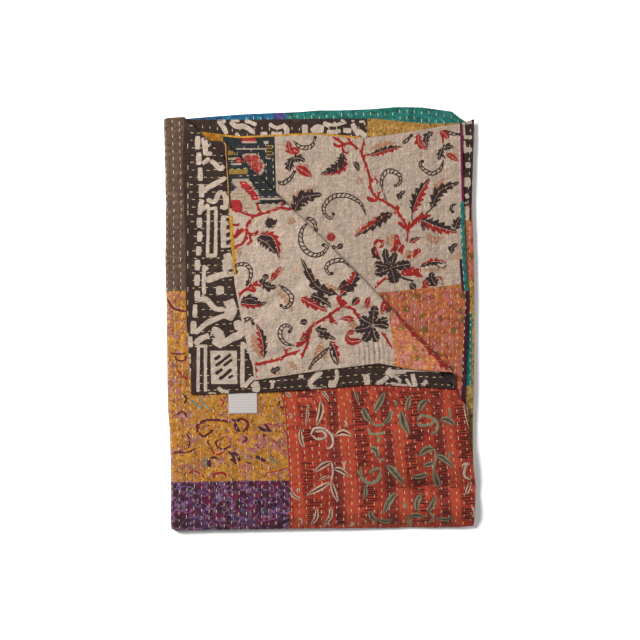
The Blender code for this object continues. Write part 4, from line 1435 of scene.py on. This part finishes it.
MUSTARD_LINES = (
    ("maroon", 5.0, (-230, -211), (-230, -200), (-223, -192), (-209, -188), (-191, -188), (-167, -192)),
    ("maroon", 4.1, (-228, -212), (-219, -219), (-209, -213), (-201, -206)),
    ("maroon", 4.6, (-160, -197), (-156, -188), (-146, -186), (-136, -192), (-137, -202), (-146, -209)),
    ("maroon", 3.2, (-185, -221), (-194, -226), (-194, -237), (-181, -242), (-170, -236), (-168, -221)),
    ("red", 3.0, (-206, -236), (-200, -249), (-191, -253), (-180, -247)),
    ("pink", 4.9, (-103, -198), (-95, -196), (-82, -201), (-71, -204), (-62, -221)),
    ("red", 1.9, (-103, -195), (-88, -196), (-71, -201), (-60, -219)),
    ("pink", 4.3, (-94, -224), (-79, -239), (-62, -257)),
    ("red", 1.9, (-92, -223), (-77, -237), (-61, -253)),
    ("pink", 4.3, (-62, -280), (-77, -288), (-95, -291), (-101, -298)),
    ("red", 2.1, (-62, -277), (-79, -284), (-99, -287), (-104, -297)),
    ("plum", 6.6, (-121, -256), (-112, -260), (-102, -266)),
    ("plum", 4.8, (-169, -261), (-163, -264), (-157, -271)),
    ("plum", 5.4, (-165, -249), (-155, -254), (-151, -266)),
    ("plum", 3.0, (-140, -268), (-135, -268), (-129, -270)),
    ("plum", 7.2, (-207, -262), (-209, -269), (-206, -276)),
    ("plum", 4.2, (-206, -260), (-199, -258), (-193, -260)),
    ("plum", 6.6, (-161, -194), (-156, -204), (-151, -213)),
    ("plum", 6.6, (-116, -200), (-108, -206), (-94, -209)),
    ("plum", 5.4, (-97, -202), (-101, -211), (-107, -219)),
    ("red", 3.2, (-248, -288), (-236, -284), (-224, -289), (-217, -297)),
    ("red", 4.2, (-199, -298), (-198, -289), (-180, -288), (-179, -298)),
    ("maroon", 3.0, (-278, -251), (-266, -248), (-251, -249), (-231, -240)),
    ("maroon", 3.0, (-251, -213), (-245, -226), (-247, -242)),
    ("maroon", 4.1, (-288, 41), (-275, 22), (-251, 16)),
    ("maroon", 2.8, (-282, -62), (-267, -64), (-251, -62)),
    ("red", 3.8, (-269, -94), (-260, -103), (-249, -113)),
    ("maroon", 3.0, (-273, -63), (-269, -75), (-256, -76), (-251, -67)),
    ("plum", 3.5, (-206, -223), (-211, -228), (-208, -236)),
    ("plum", 4.2, (-144, -217), (-138, -224), (-146, -231)),
    ("plum", 3.8, (-258, -138), (-251, -148), (-256, -157)),
    ("maroon", 3.2, (-269, -178), (-258, -172), (-249, -183)),
    ("red", 2.8, (-187, -148), (-181, -155), (-187, -163)),
    ("red", 2.8, (-71, -150), (-65, -157), (-73, -170)),
    ("plum", 3.8, (-75, -151), (-78, -161), (-69, -165)),
    ("pink", 8.7, (-172, -208), (-176, -219), (-166, -226)),
    ("pink", 9.7, (-116, -236), (-108, -230), (-97, -237)),
    ("pink", 8.1, (-108, -217), (-112, -226), (-103, -232)),
    ("pink", 7.1, (-148, -280), (-140, -273), (-131, -282)),
    ("pink", 7.5, (-271, -127), (-266, -133), (-269, -140)),
    ("sage", 4.9, (-241, -150), (-234, -157), (-219, -168)),
    ("sage", 3.6, (-226, -140), (-221, -153), (-206, -170)),
    ("sage", 4.4, (-219, -256), (-213, -266), (-217, -277)),
    ("sage", 4.1, (-97, -256), (-90, -264), (-80, -267)),
    ("plum", 5.0, (-104, -195), (-98, -203), (-91, -213)),
    ("plum", 4.6, (-166, -186), (-158, -190), (-150, -189)),
    ("plum", 4.6, (-172, -246), (-163, -256), (-160, -268)),
    ("maroon", 4.0, (-198, -232), (-191, -224), (-178, -222)),
    ("pink", 7.0, (-150, -222), (-141, -230), (-133, -227)),
    ("pink", 7.4, (-128, -206), (-122, -214), (-124, -224)),
    ("pink", 6.6, (-137, -246), (-128, -243), (-119, -249)),
)


# The barbs of a stem: how many steps apart, how far they lean forwards, and their share of its width.
BARB_EVERY, BARB_LEAN, BARB_WIDTH = 6, 1.4, 0.75
# Leaves. Columns: where the base starts, the power that moves the broadest place, the power that fills the
# leaf out, and how deep its edge is cut.
PLAIN_LEAF, ROUNDED_LEAF = (0.03, 0.85, 0.75, 0.58), (0.02, 1.35, 0.5, 0.3)
LEAF_TIP = 0.985
# Half the bare midrib: at most this, and this share of the leaf's half.
MIDRIB, MIDRIB_SHARE = 0.45, 0.3
SHADOW_TEETH = 6
# A rope: the widths of its outlines, rungs and knob, and half the knob's length.
ROPE_OUTLINE, ROPE_RUNG, ROPE_KNOB, ROPE_KNOB_HALF = 2.1, 2.0, 7.0, 3.2
# The spacing of the threads that took a dye, how far past the last row one may lie, and the widest step
# across them.
DYED_THREAD, DYED_SPARE, DYED_ACROSS = 1.3, 0.6, 2.6
# Hatching: how much longer or shorter each end is as a share, how far it slants, its thickness, how far its
# middle strays, and the share of strokes that are missing.
HATCH_ENDS, HATCH_SLANT, HATCH_THICK = (-0.42, 0.3), 1.5, (1.5, 3.1)
HATCH_STRAY, HATCH_MISSING = 0.7, 0.12
LEAF_CORE = 0.36


def smooth_path(points):
    """A Catmull-Rom curve through points: its places a short step apart, the unit vectors across it, and
    how far along it each place is, from 0 to 1."""
    points = np.array(points, float)
    ends = (2 * points[:1] - points[1:2], 2 * points[-1:] - points[-2:-1])
    ghost = np.concatenate([ends[0], points, ends[1]])
    spans = len(points) - 1
    count = max(4, int(np.linalg.norm(np.diff(points, axis=0), axis=1).sum() / STEP_ALONG))
    along = np.linspace(0, spans, count + 1)
    span = np.minimum(along.astype(int), spans - 1)
    f = (along - span)[:, None]
    before, start, end, after = (ghost[span + i] for i in range(4))
    bend = 2 * before - 5 * start + 4 * end - after
    twist = 3 * start - before - 3 * end + after
    place = start + 0.5 * ((end - before) * f + bend * f**2 + twist * f**3)
    ahead = np.gradient(place, axis=0)
    ahead /= np.maximum(np.linalg.norm(ahead, axis=1, keepdims=True), 1e-9)
    return place, np.stack([-ahead[:, 1], ahead[:, 0]], -1), along / spans


def stroke(ink, width, *points, form="line"):
    """A ribbon along a path. A line keeps its width and eases off to a third over the last tenth at each
    end, a lens swells to it in the middle as a sine does, and a brush has blunt ends and a width that
    wavers by 7 percent."""
    place, across, part = smooth_path(points)
    ends = np.minimum(part, 1 - part)
    swell = {
        "line": np.minimum(1, 0.35 + 6 * ends),
        "lens": np.sin(math.pi * np.clip(part, 0.02, 0.98)) ** 0.7,
        "brush": np.minimum(1, 0.72 + 4 * ends) * (1 + 0.07 * np.sin(9 * part + width)),
    }[form]
    half = np.linspace(-0.5, 0.5, 3)[None, :, None] * (width * swell)[:, None, None]
    return ink, place[:, None] + across[:, None] * half


def leaf(left, right, width, teeth, *points, rounded=False):
    """A leaf: a half in its own ink on each side of a bare midrib, swelling from the base and narrowing to
    the tip, with an edge of forward teeth. A rounded one is broadest past its middle and has lobes. The
    width is a power of the sine of a power of the place along."""
    place, across, part = smooth_path(points)
    fine = np.linspace(0, 1, max(8 * teeth, len(part)) + 1)
    place = np.stack([np.interp(fine, part, place[:, i]) for i in (0, 1)], -1)
    across = np.stack([np.interp(fine, part, across[:, i]) for i in (0, 1)], -1)
    base, shift, fill, depth = ROUNDED_LEAF if rounded else PLAIN_LEAF
    swell = np.sin(math.pi * np.clip(fine, base, LEAF_TIP) ** shift) ** fill
    if rounded:
        notch = 1 - depth + depth * np.abs(np.sin(math.pi * teeth * fine))
    else:
        notch = 1 - depth * (1 - (fine * teeth) % 1) if teeth else 1.0
    halves = []
    for ink, side in ((left, 1), (right, -1)):
        outer = width * swell * notch
        inner = np.minimum(MIDRIB, outer * MIDRIB_SHARE)
        across_half = inner[:, None] + (outer - inner)[:, None] * np.linspace(0, 1, 3)
        halves.append((ink, place[:, None] + side * across[:, None] * across_half[..., None]))
    return halves


def stem(ink, width, *points):
    """A stem with short barbs that lean towards its tip, on one side and then the other."""
    place, across, _ = smooth_path(points)
    ahead = np.stack([across[:, 1], -across[:, 0]], -1)
    marks = [stroke(ink, width, *points)]
    for turn, i in enumerate(range(3, len(place) - 2, BARB_EVERY)):
        tip = place[i] + (ahead[i] * BARB_LEAN + across[i] * (-1) ** turn) * width
        bend = place[i] + (tip - place[i]) * 0.4
        marks.append(stroke(ink, width * BARB_WIDTH, place[i - 1], bend, tip, form="lens"))
    return marks


def petal(ink, width, lobes, *points):
    """A lobed petal."""
    return leaf(ink, ink, width / 2, lobes, *points, rounded=True)


def shadow(ink, width, *points):
    """The paler second block of a leaf, feathered and a little off from it."""
    return leaf(ink, ink, width / 2, SHADOW_TEETH, *points)


def rope(width, *points):
    """A rope scroll: two outlines that close on its tail, slanted rungs between them, and a round knob."""
    place, across, part = smooth_path(points)
    half = 0.8 * width * np.sin(math.pi * np.clip(part, 0.04, 0.8) ** 0.8)[:, None]
    marks = [stroke("aubergine", ROPE_OUTLINE, *(place + side * across * half)) for side in (1, -1)]
    rungs = np.arange(2, len(part) - 4, 3)
    for i in rungs[part[rungs] < 0.75]:
        ends = place[i] - across[i] * half[i], place[i + 2] + across[i + 2] * half[i + 2]
        marks.append(stroke("aubergine", ROPE_RUNG, *ends))
    knob = place[-1] - place[-2]
    knob = knob / np.linalg.norm(knob) * ROPE_KNOB_HALF
    marks.append(stroke("aubergine", ROPE_KNOB, place[-1] - knob, place[-1] + knob, form="lens"))
    return marks


def dyed(ink, rough, *rows):
    """A patch dyed into the threads: every thread took the dye a little further or less far than the next
    one. Rows: place along, and its two ends across."""
    rows = np.array(sorted(rows), float)
    level = np.arange(rows[0, 0], rows[-1, 0] + DYED_SPARE, DYED_THREAD)
    ends = np.stack([np.interp(level, rows[:, 0], rows[:, i]) for i in (1, 2)], -1)
    ends += DRAW.uniform(-rough, rough, ends.shape)
    share_across = np.linspace(0, 1, max(3, int(np.ptp(ends, axis=1).max() / DYED_ACROSS) + 2))
    x = ends[:, :1] + (ends[:, 1:] - ends[:, :1]) * share_across
    return ink, np.stack([x, np.broadcast_to(level[:, None], x.shape)], -1)


def hatch(ink, width, *points):
    """A column of short uneven cross strokes along a path, some of them missing."""
    place, across, _ = smooth_path(points)
    ends = width / 2 * (1 + DRAW.uniform(*HATCH_ENDS, (len(place), 2)))
    slant = DRAW.uniform(-HATCH_SLANT, HATCH_SLANT, (len(place), 2)) * (0, 1)
    thick = DRAW.uniform(*HATCH_THICK, len(place))
    kept = DRAW.random(len(place)) > HATCH_MISSING
    return [
        stroke(
            ink,
            thick[i],
            place[i] - across[i] * ends[i, 0] - slant[i],
            place[i] + DRAW.uniform(-HATCH_STRAY, HATCH_STRAY, 2),
            place[i] + across[i] * ends[i, 1] + slant[i],
        )
        for i in range(1, len(place) - 1, 2)
        if kept[i]
    ]


def cored_leaf(ink, core, width, *points):
    """A plain leaf with a dark core."""
    return [stroke(ink, width, *points, form="lens"), stroke(core, width * LEAF_CORE, *points, form="lens")]


def print_on(name, layer, marks, window=(0.0, SHEET_LENGTH, 0.0, SHEET_WIDTH)):
    """One mesh of all the marks printed on a layer, held inside a window of the flat sheet."""
    _, _, _, side = SEEN[layer]
    verts, faces, flats, inks, total = [], [], [], [], 0
    names = list(INKS)
    for order, (ink, grid) in enumerate(marks):
        s, t = found(layer, *np.moveaxis(grid + DRAWN_FROM, -1, 0))
        s, t = np.clip(s, *window[:2]), np.clip(t, *window[2:])
        number = np.arange(s.size).reshape(s.shape) + total
        cells = np.stack(cell_corners(number), -1).reshape(-1, 4)
        size_s = np.abs(s[1:, 1:] - s[:-1, :-1]) + np.abs(s[1:, :-1] - s[:-1, 1:])
        size_t = np.abs(t[1:, 1:] - t[:-1, :-1]) + np.abs(t[1:, :-1] - t[:-1, 1:])
        cells = cells[(np.minimum(size_s, size_t) > LEAST_CELL).ravel()]
        verts.append(laid(s, t, side, INKS[ink][1] + INK_STEP * order).reshape(-1, 3))
        flats.append(np.stack([s, t], -1).reshape(-1, 2) * MM)
        faces.append(cells)
        inks.append(np.full(len(cells), names.index(ink)))
        total += s.size
    verts, faces = np.concatenate(verts), np.concatenate(faces)
    corner = verts[faces]
    up = np.cross(corner[:, 2] - corner[:, 0], corner[:, 3] - corner[:, 1])[:, 2]
    faces = np.where((up < 0)[:, None], faces[:, ::-1], faces)
    flats, inks = np.concatenate(flats), np.concatenate(inks)
    return finish_mesh(name, verts, faces, flats, inks, list(INK_CLOTHS.values()))


def motifs(*groups):
    """All the marks of groups of rows, each with the function that draws a row."""
    marks = []
    for draw, rows in groups:
        for row in rows:
            drawn = draw(*row)
            marks += drawn if isinstance(drawn, list) else [drawn]
    return marks


def brush(ink, width, *points):
    """A blunt stroke, as wax is brushed on."""
    return stroke(ink, width, *points, form="brush")


prints = [
    print_on(
        "floral_print_on_second_layer",
        "second",
        motifs(
            (dyed, SECOND_DYED), (shadow, SECOND_SHADOWS), (stem, SECOND_STEMS), (leaf, SECOND_LEAVES),
            (petal, SECOND_PETALS), (rope, SECOND_ROPES),
        ),
        (HEM_BAND, MUSTARD_SEAM, ROSE_SEAM, SHEET_WIDTH - HEM_BAND),
    ),
    print_on(
        "floral_print_on_flap",
        "flap",
        motifs(
            (dyed, FLAP_DYED), (shadow, FLAP_SHADOWS), (stem, FLAP_STEMS), (leaf, FLAP_LEAVES),
            (petal, FLAP_PETALS), (rope, FLAP_ROPES),
        ),
        (TOP, SHEET_LENGTH - HEM_BAND, DEEP, SHEET_WIDTH - HEM_BAND),
    ),
    print_on(
        "batik_print_on_flap_margin",
        "margin",
        motifs((dyed, BATIK_SHAPES), (brush, BATIK_STROKES)),
        (TOP, SHEET_LENGTH, 0, DEEP),
    ),
    print_on("batik_print_on_third_layer", "third", motifs((brush, THIRD_STROKES)), (0, WIDE, 0, 200)),
    print_on(
        "leaf_print_on_rust_cotton",
        "top",
        motifs((dyed, RUST_BANDS), (hatch, RUST_HATCHES), (stroke, RUST_STEMS), (cored_leaf, RUST_LEAVES)),
        (RUST_SEAM, SHEET_LENGTH, 0, DEEP + 30),
    ),
    print_on(
        "scroll_print_on_mustard_cotton",
        "top",
        motifs((stroke, MUSTARD_LINES)),
        (TOP - 10, RUST_SEAM, TAUPE_SEAM, PURPLE_SEAM),
    ),
]

# ---------------------------------------------------------------------------------------------------------
# Running stitches: every row goes down and up through the cloth, so that its gaps are stitches on the back.

STITCH, STITCH_GAP = 6.4, 6.8
THREAD_ACROSS, THREAD_UP = 0.62, 0.34
# A hand's unevenness: of the beat and the stitch as shares of them, and how far a row wanders.
BEAT_UNEVEN, STITCH_UNEVEN, ROW_WANDER = 0.05, 0.09, 0.35
# Where the first stitches may start, and how far a back's stitch keeps from those of the face at each end.
FIRST_STITCH, BACK_INSET = 4, 0.3
# Beyond the hinge: where the stitches of the top layer end, and where those past the ridge begin.
TOP_STOPS, RIDGE_PAST = 4, 14
# The turned corner's stitches: the least height they lie at, and where along and across the sheet they begin.
TURNED_HEIGHT = 7.4 * PITCH * 0.9
FLAP_FROM = (TOP + 20, 1000)
# How far in under a layer's edge stitches still go, as the spare it is given.
UNDER_TWO_EDGES, UNDER_ONE_EDGE = -3, -2
# Tacking along the margin's hem, seen from above: its line across, and its stitches' length and places.
TACK_LINE, TACK_LENGTH = -248.5, 10.5
TACKS = (331, 291, 258, 237, 218, 206, 172, 130, 106, 62, 38, 17, -24, -48, -84, -117)
# Along a stitch: how far on it is, and how far its middle stands off the cloth.
STITCH_ARCH = ((0.0, -0.45), (0.14, 0.12), (0.5, 0.3), (0.86, 0.12), (1.0, -0.45))


def covered(layer, x, y, spare=0.0):
    """Whether a place seen from above lies under a layer: its flat place is on the sheet."""
    step, ply, _, _ = SEEN[layer]
    s, t = found(layer, x, y)
    on_length = (s > step * WIDE - spare) & (s < (step + 1) * WIDE + spare)
    return on_length & ((t > DEEP) if ply else (t < DEEP)) & (t > -spare) & (t < SHEET_WIDTH + spare)


def stitch_rows(side):
    """The starts and lengths of all stitches on the face or the back. Each row has its own uneven beat."""
    starts, rows, lengths = [], [], []
    draw = np.random.default_rng(11)
    for row in range(round(SHEET_LENGTH / ROW)):
        count = int(SHEET_WIDTH / (STITCH + STITCH_GAP)) - 1
        beat = (STITCH + STITCH_GAP) * (1 + draw.normal(0, BEAT_UNEVEN, count))
        length = STITCH * (1 + draw.normal(0, STITCH_UNEVEN, count))
        begin = FIRST_STITCH + draw.uniform(0, STITCH) + np.cumsum(beat) - beat[0]
        if side < 0:
            gap = beat[:-1] - length[:-1]
            length, begin = gap - 2 * BACK_INSET, begin[:-1] + length[:-1] + BACK_INSET
        wander = draw.normal(0, ROW_WANDER, len(begin))
        starts.append(begin)
        lengths.append(length)
        rows.append((row + 0.5) * ROW + wander)
    return np.concatenate(rows), np.concatenate(starts), np.concatenate(lengths)


def threads(name, side, s, t, length, thread, across=False):
    """Short arched tubes with four sides, each sunk into the cloth at both ends."""
    part, rise = np.array(STITCH_ARCH).T
    ring_off = np.array([(-THREAD_ACROSS, 0), (0, THREAD_UP), (THREAD_ACROSS, 0), (0, -THREAD_UP)])
    along = t[:, None, None] + length[:, None, None] * part[None, :, None] + np.zeros(len(ring_off))
    beside = s[:, None, None] + np.zeros((1, len(part), 1)) + ring_off[:, 0]
    lift = np.zeros((len(s), 1, 1)) + rise[None, :, None] + ring_off[:, 1]
    flat_s, flat_t = (along, beside) if across else (beside, along)
    verts = laid(flat_s, flat_t, side, lift.ravel()).reshape(-1, 3)
    number = np.arange(flat_s.size).reshape(flat_s.shape)
    here, there = number[:, :-1], number[:, 1:]
    walls = np.stack([here, np.roll(here, -1, 2), np.roll(there, -1, 2), there], -1).reshape(-1, 4)
    ends = np.concatenate([number[:, 0, ::-1], number[:, -1, :]])
    faces = np.concatenate([walls, ends])
    flat = np.stack([flat_s.ravel(), flat_t.ravel()], -1) * MM
    return finish_mesh(name, verts, faces, flat, None, [thread])


def seen_stitches(side):
    """The stitches that show: on the face, on the top layer outside the flap, on the flap, on the second
    layer and the fourth, and underneath; on the back, on the flap's margin and on the third layer."""
    s, t, length = stitch_rows(side)
    place = laid(s, t + length / 2, side) / MM
    x, y = (place[:, :2] + MIDDLE).T
    beyond, _ = hinge_place(np.stack([x, y], -1))
    top, outer = s > TOP, t < DEEP
    pair = s < WIDE
    under_flap = covered("margin", x, y) | covered("flap", x, y)
    past_ridge = beyond > RIDGE_PAST
    turned_up = place[:, 2] > TURNED_HEIGHT
    if side > 0:
        flat_top = top & outer & ~under_flap & (beyond < TOP_STOPS)
        flap = turned_up & (s > FLAP_FROM[0]) & (t > FLAP_FROM[1])
        second = pair & ~outer & past_ridge
        fourth = (s > WIDE) & (s < 2 * WIDE) & outer & past_ridge
        for layer in ("third", "second"):
            fourth = fourth & ~covered(layer, x, y, UNDER_TWO_EDGES)
        underside = (s > 2 * WIDE) & (s < TOP) & outer
        return s, t, length, flat_top | flap | second | fourth, underside
    margin = top & outer & turned_up & ~covered("flap", x, y, UNDER_ONE_EDGE)
    third = pair & outer & past_ridge & ~covered("second", x, y, UNDER_ONE_EDGE)
    return s, t, length, margin | third, None


pale_thread = woven("pale cotton thread", "#C6B88E", (("#B7A274", "blotch", 30, 30, 0.5, 0.1),))
s, t, length, above, below = seen_stitches(1)
stitches = [
    threads("running_stitches_on_faces", 1, s[above], t[above], length[above], pale_thread),
    threads("running_stitches_underneath", 1, s[below], t[below], length[below], pale_thread),
]
s, t, length, above, _ = seen_stitches(-1)
stitches.append(threads("running_stitches_on_backs", -1, s[above], t[above], length[above], pale_thread))
# A line of long tacking stitches along the hem of the flap's margin.
tack_at, tack_hem = found("margin", np.full(len(TACKS), TACK_LINE), np.array(TACKS, float))
tack_length = np.full(len(TACKS), TACK_LENGTH)
stitches.append(
    threads("tacking_stitches_on_margin", -1, tack_hem, tack_at, tack_length, pale_thread, across=True)
)

# ---------------------------------------------------------------------------------------------------------
# The label.

LABEL_WIDTH, LABEL_LENGTH, LABEL_THICK = 54.0, 47.0, 0.5
LABEL_GAP = 0.7
LABEL_CENTRE = (-145.5, -152.5)
LABEL_TURN = math.radians(0.6)
# The ribbon's ribs, drawn this far apart so that they show.
LABEL_RIB = 3.1
LABEL_GRID = (28, 24)


def satin(name):
    """White satin ribbon, woven: a soft shine with fine ribs across it."""
    material, tree, place = cloth_material(name)
    rib = add(
        tree,
        "ShaderNodeTexWave",
        {"Vector": place, "Scale": WAVE_REPEAT / LABEL_RIB, "Distortion": 0.4},
        bands_direction="Y",
    ).outputs["Fac"]
    colour = add(tree, "ShaderNodeValToRGB", {0: rib}, ((0.0, "#89827F"), (1.0, "#A69F9C"))).outputs[0]
    bump = add(tree, "ShaderNodeBump", {"Strength": 0.3, "Distance": 0.0003, "Height": rib}).outputs[0]
    shader = add(
        tree,
        "ShaderNodeBsdfPrincipled",
        {"Base Color": colour, "Roughness": 0.42, "Sheen Weight": 0.2, "Normal": bump},
    )
    add(tree, "ShaderNodeOutputMaterial", {0: shader.outputs[0]})
    return material


def care_label():
    """A thin flat ribbon that lies on the top layer, out from under the turned corner."""
    across = np.linspace(-LABEL_WIDTH / 2, LABEL_WIDTH / 2, LABEL_GRID[0])
    along = np.linspace(-LABEL_LENGTH / 2, LABEL_LENGTH / 2, LABEL_GRID[1])
    u, v = (grid.ravel() for grid in np.meshgrid(across, along, indexing="ij"))
    x = LABEL_CENTRE[0] + u * math.cos(LABEL_TURN) - v * math.sin(LABEL_TURN)
    y = LABEL_CENTRE[1] + u * math.sin(LABEL_TURN) + v * math.cos(LABEL_TURN)
    base = 7.5 * PITCH + HALF + LABEL_GAP
    verts = np.concatenate(
        [settled(np.stack([x, y, np.full_like(x, base + up)], 1)) * MM for up in (LABEL_THICK, 0.0)]
    )
    number = np.arange(u.size).reshape(LABEL_GRID)
    face = np.stack(cell_corners(number), -1).reshape(-1, 4)
    loop, after = border(number)
    rim = np.stack([loop, loop + u.size, after + u.size, after], -1)
    faces = np.concatenate([face, face[:, ::-1] + u.size, rim])
    flat = np.concatenate([np.stack([u, v], -1)] * 2) * MM
    return finish_mesh("satin_care_label", verts, faces, flat, None, [satin("woven satin ribbon")])


label = care_label()

# ---------------------------------------------------------------------------------------------------------
# What each piece stands for.

for piece in prints + stitches:
    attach(piece, "root")
for piece, flat in (
    (quilt_top_pair, (SHEET_LENGTH - SPLIT, SHEET_WIDTH)),
    (quilt_second_pair, (WIDE, SHEET_WIDTH)),
    (quilt_lower_pairs, (SPLIT - WIDE, SHEET_WIDTH)),
):
    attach(piece, "root")
    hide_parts("quilt")
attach(label, "root")
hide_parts("care_label")

# ---------------------------------------------------------------------------------------------------------
# Floor, light and camera.

FLOOR = 12.0
# The floor is this far below the quilt, so that the two never share a plane.
FLOOR_DROP = 0.0005
ROOM_LIGHT = 0.2
CAMERA_HEIGHT = 2.4
VIEW_WIDTH = 1.1968
SENSOR = 36.0


def plain(name, hex_colour, roughness):
    """A smooth painted board."""
    material = bpy.data.materials.new(name)
    material.use_nodes = True
    shader = material.node_tree.nodes["Principled BSDF"]
    shader.inputs["Base Color"].default_value = linear(hex_colour)
    shader.inputs["Roughness"].default_value = roughness
    return material


floor_corners = np.array([(-1, -1, 0), (1, -1, 0), (1, 1, 0), (-1, 1, 0)]) * (FLOOR / 2, FLOOR / 2, 1)
floor = finish_mesh(
    "floor",
    floor_corners - (0, 0, FLOOR_DROP),
    np.array([(0, 1, 2, 3)]),
    materials=[plain("white floor", "#FFFFFF", 0.9)],
)

world = bpy.data.worlds.new("studio")
bpy.context.scene.world = world
world.use_nodes = True
background = world.node_tree.nodes["Background"]
background.inputs["Color"].default_value = (1, 1, 1, 1)
background.inputs["Strength"].default_value = ROOM_LIGHT

# Columns: name, place, size, power.
for name, place, size, power in (
    ("overhead", (-1.52, 1.05, 2.1), 1.1, 148.0),
    ("side", (2.2, -0.1, 1.5), 1.6, 21.0),
):
    light = bpy.data.lights.new(name, "AREA")
    light.size = size
    light.energy = power
    lamp = bpy.data.objects.new(name, light)
    lamp.location = place
    direction = -np.array(place)
    lamp.rotation_euler = (
        math.atan2(math.hypot(direction[0], direction[1]), -direction[2]),
        0,
        math.atan2(direction[1], direction[0]) - math.pi / 2,
    )
    bpy.context.scene.collection.objects.link(lamp)

camera_data = bpy.data.cameras.new("camera")
camera_data.sensor_width = SENSOR
camera_data.lens = SENSOR * (CAMERA_HEIGHT - cad_box[1][2]) / VIEW_WIDTH
camera = bpy.data.objects.new("camera", camera_data)
camera.location = (*(MM * (np.array(DRAWN_FROM) - MIDDLE)), CAMERA_HEIGHT)
bpy.context.scene.collection.objects.link(camera)
bpy.context.scene.camera = camera
bpy.context.scene.view_settings.view_transform = "Standard"
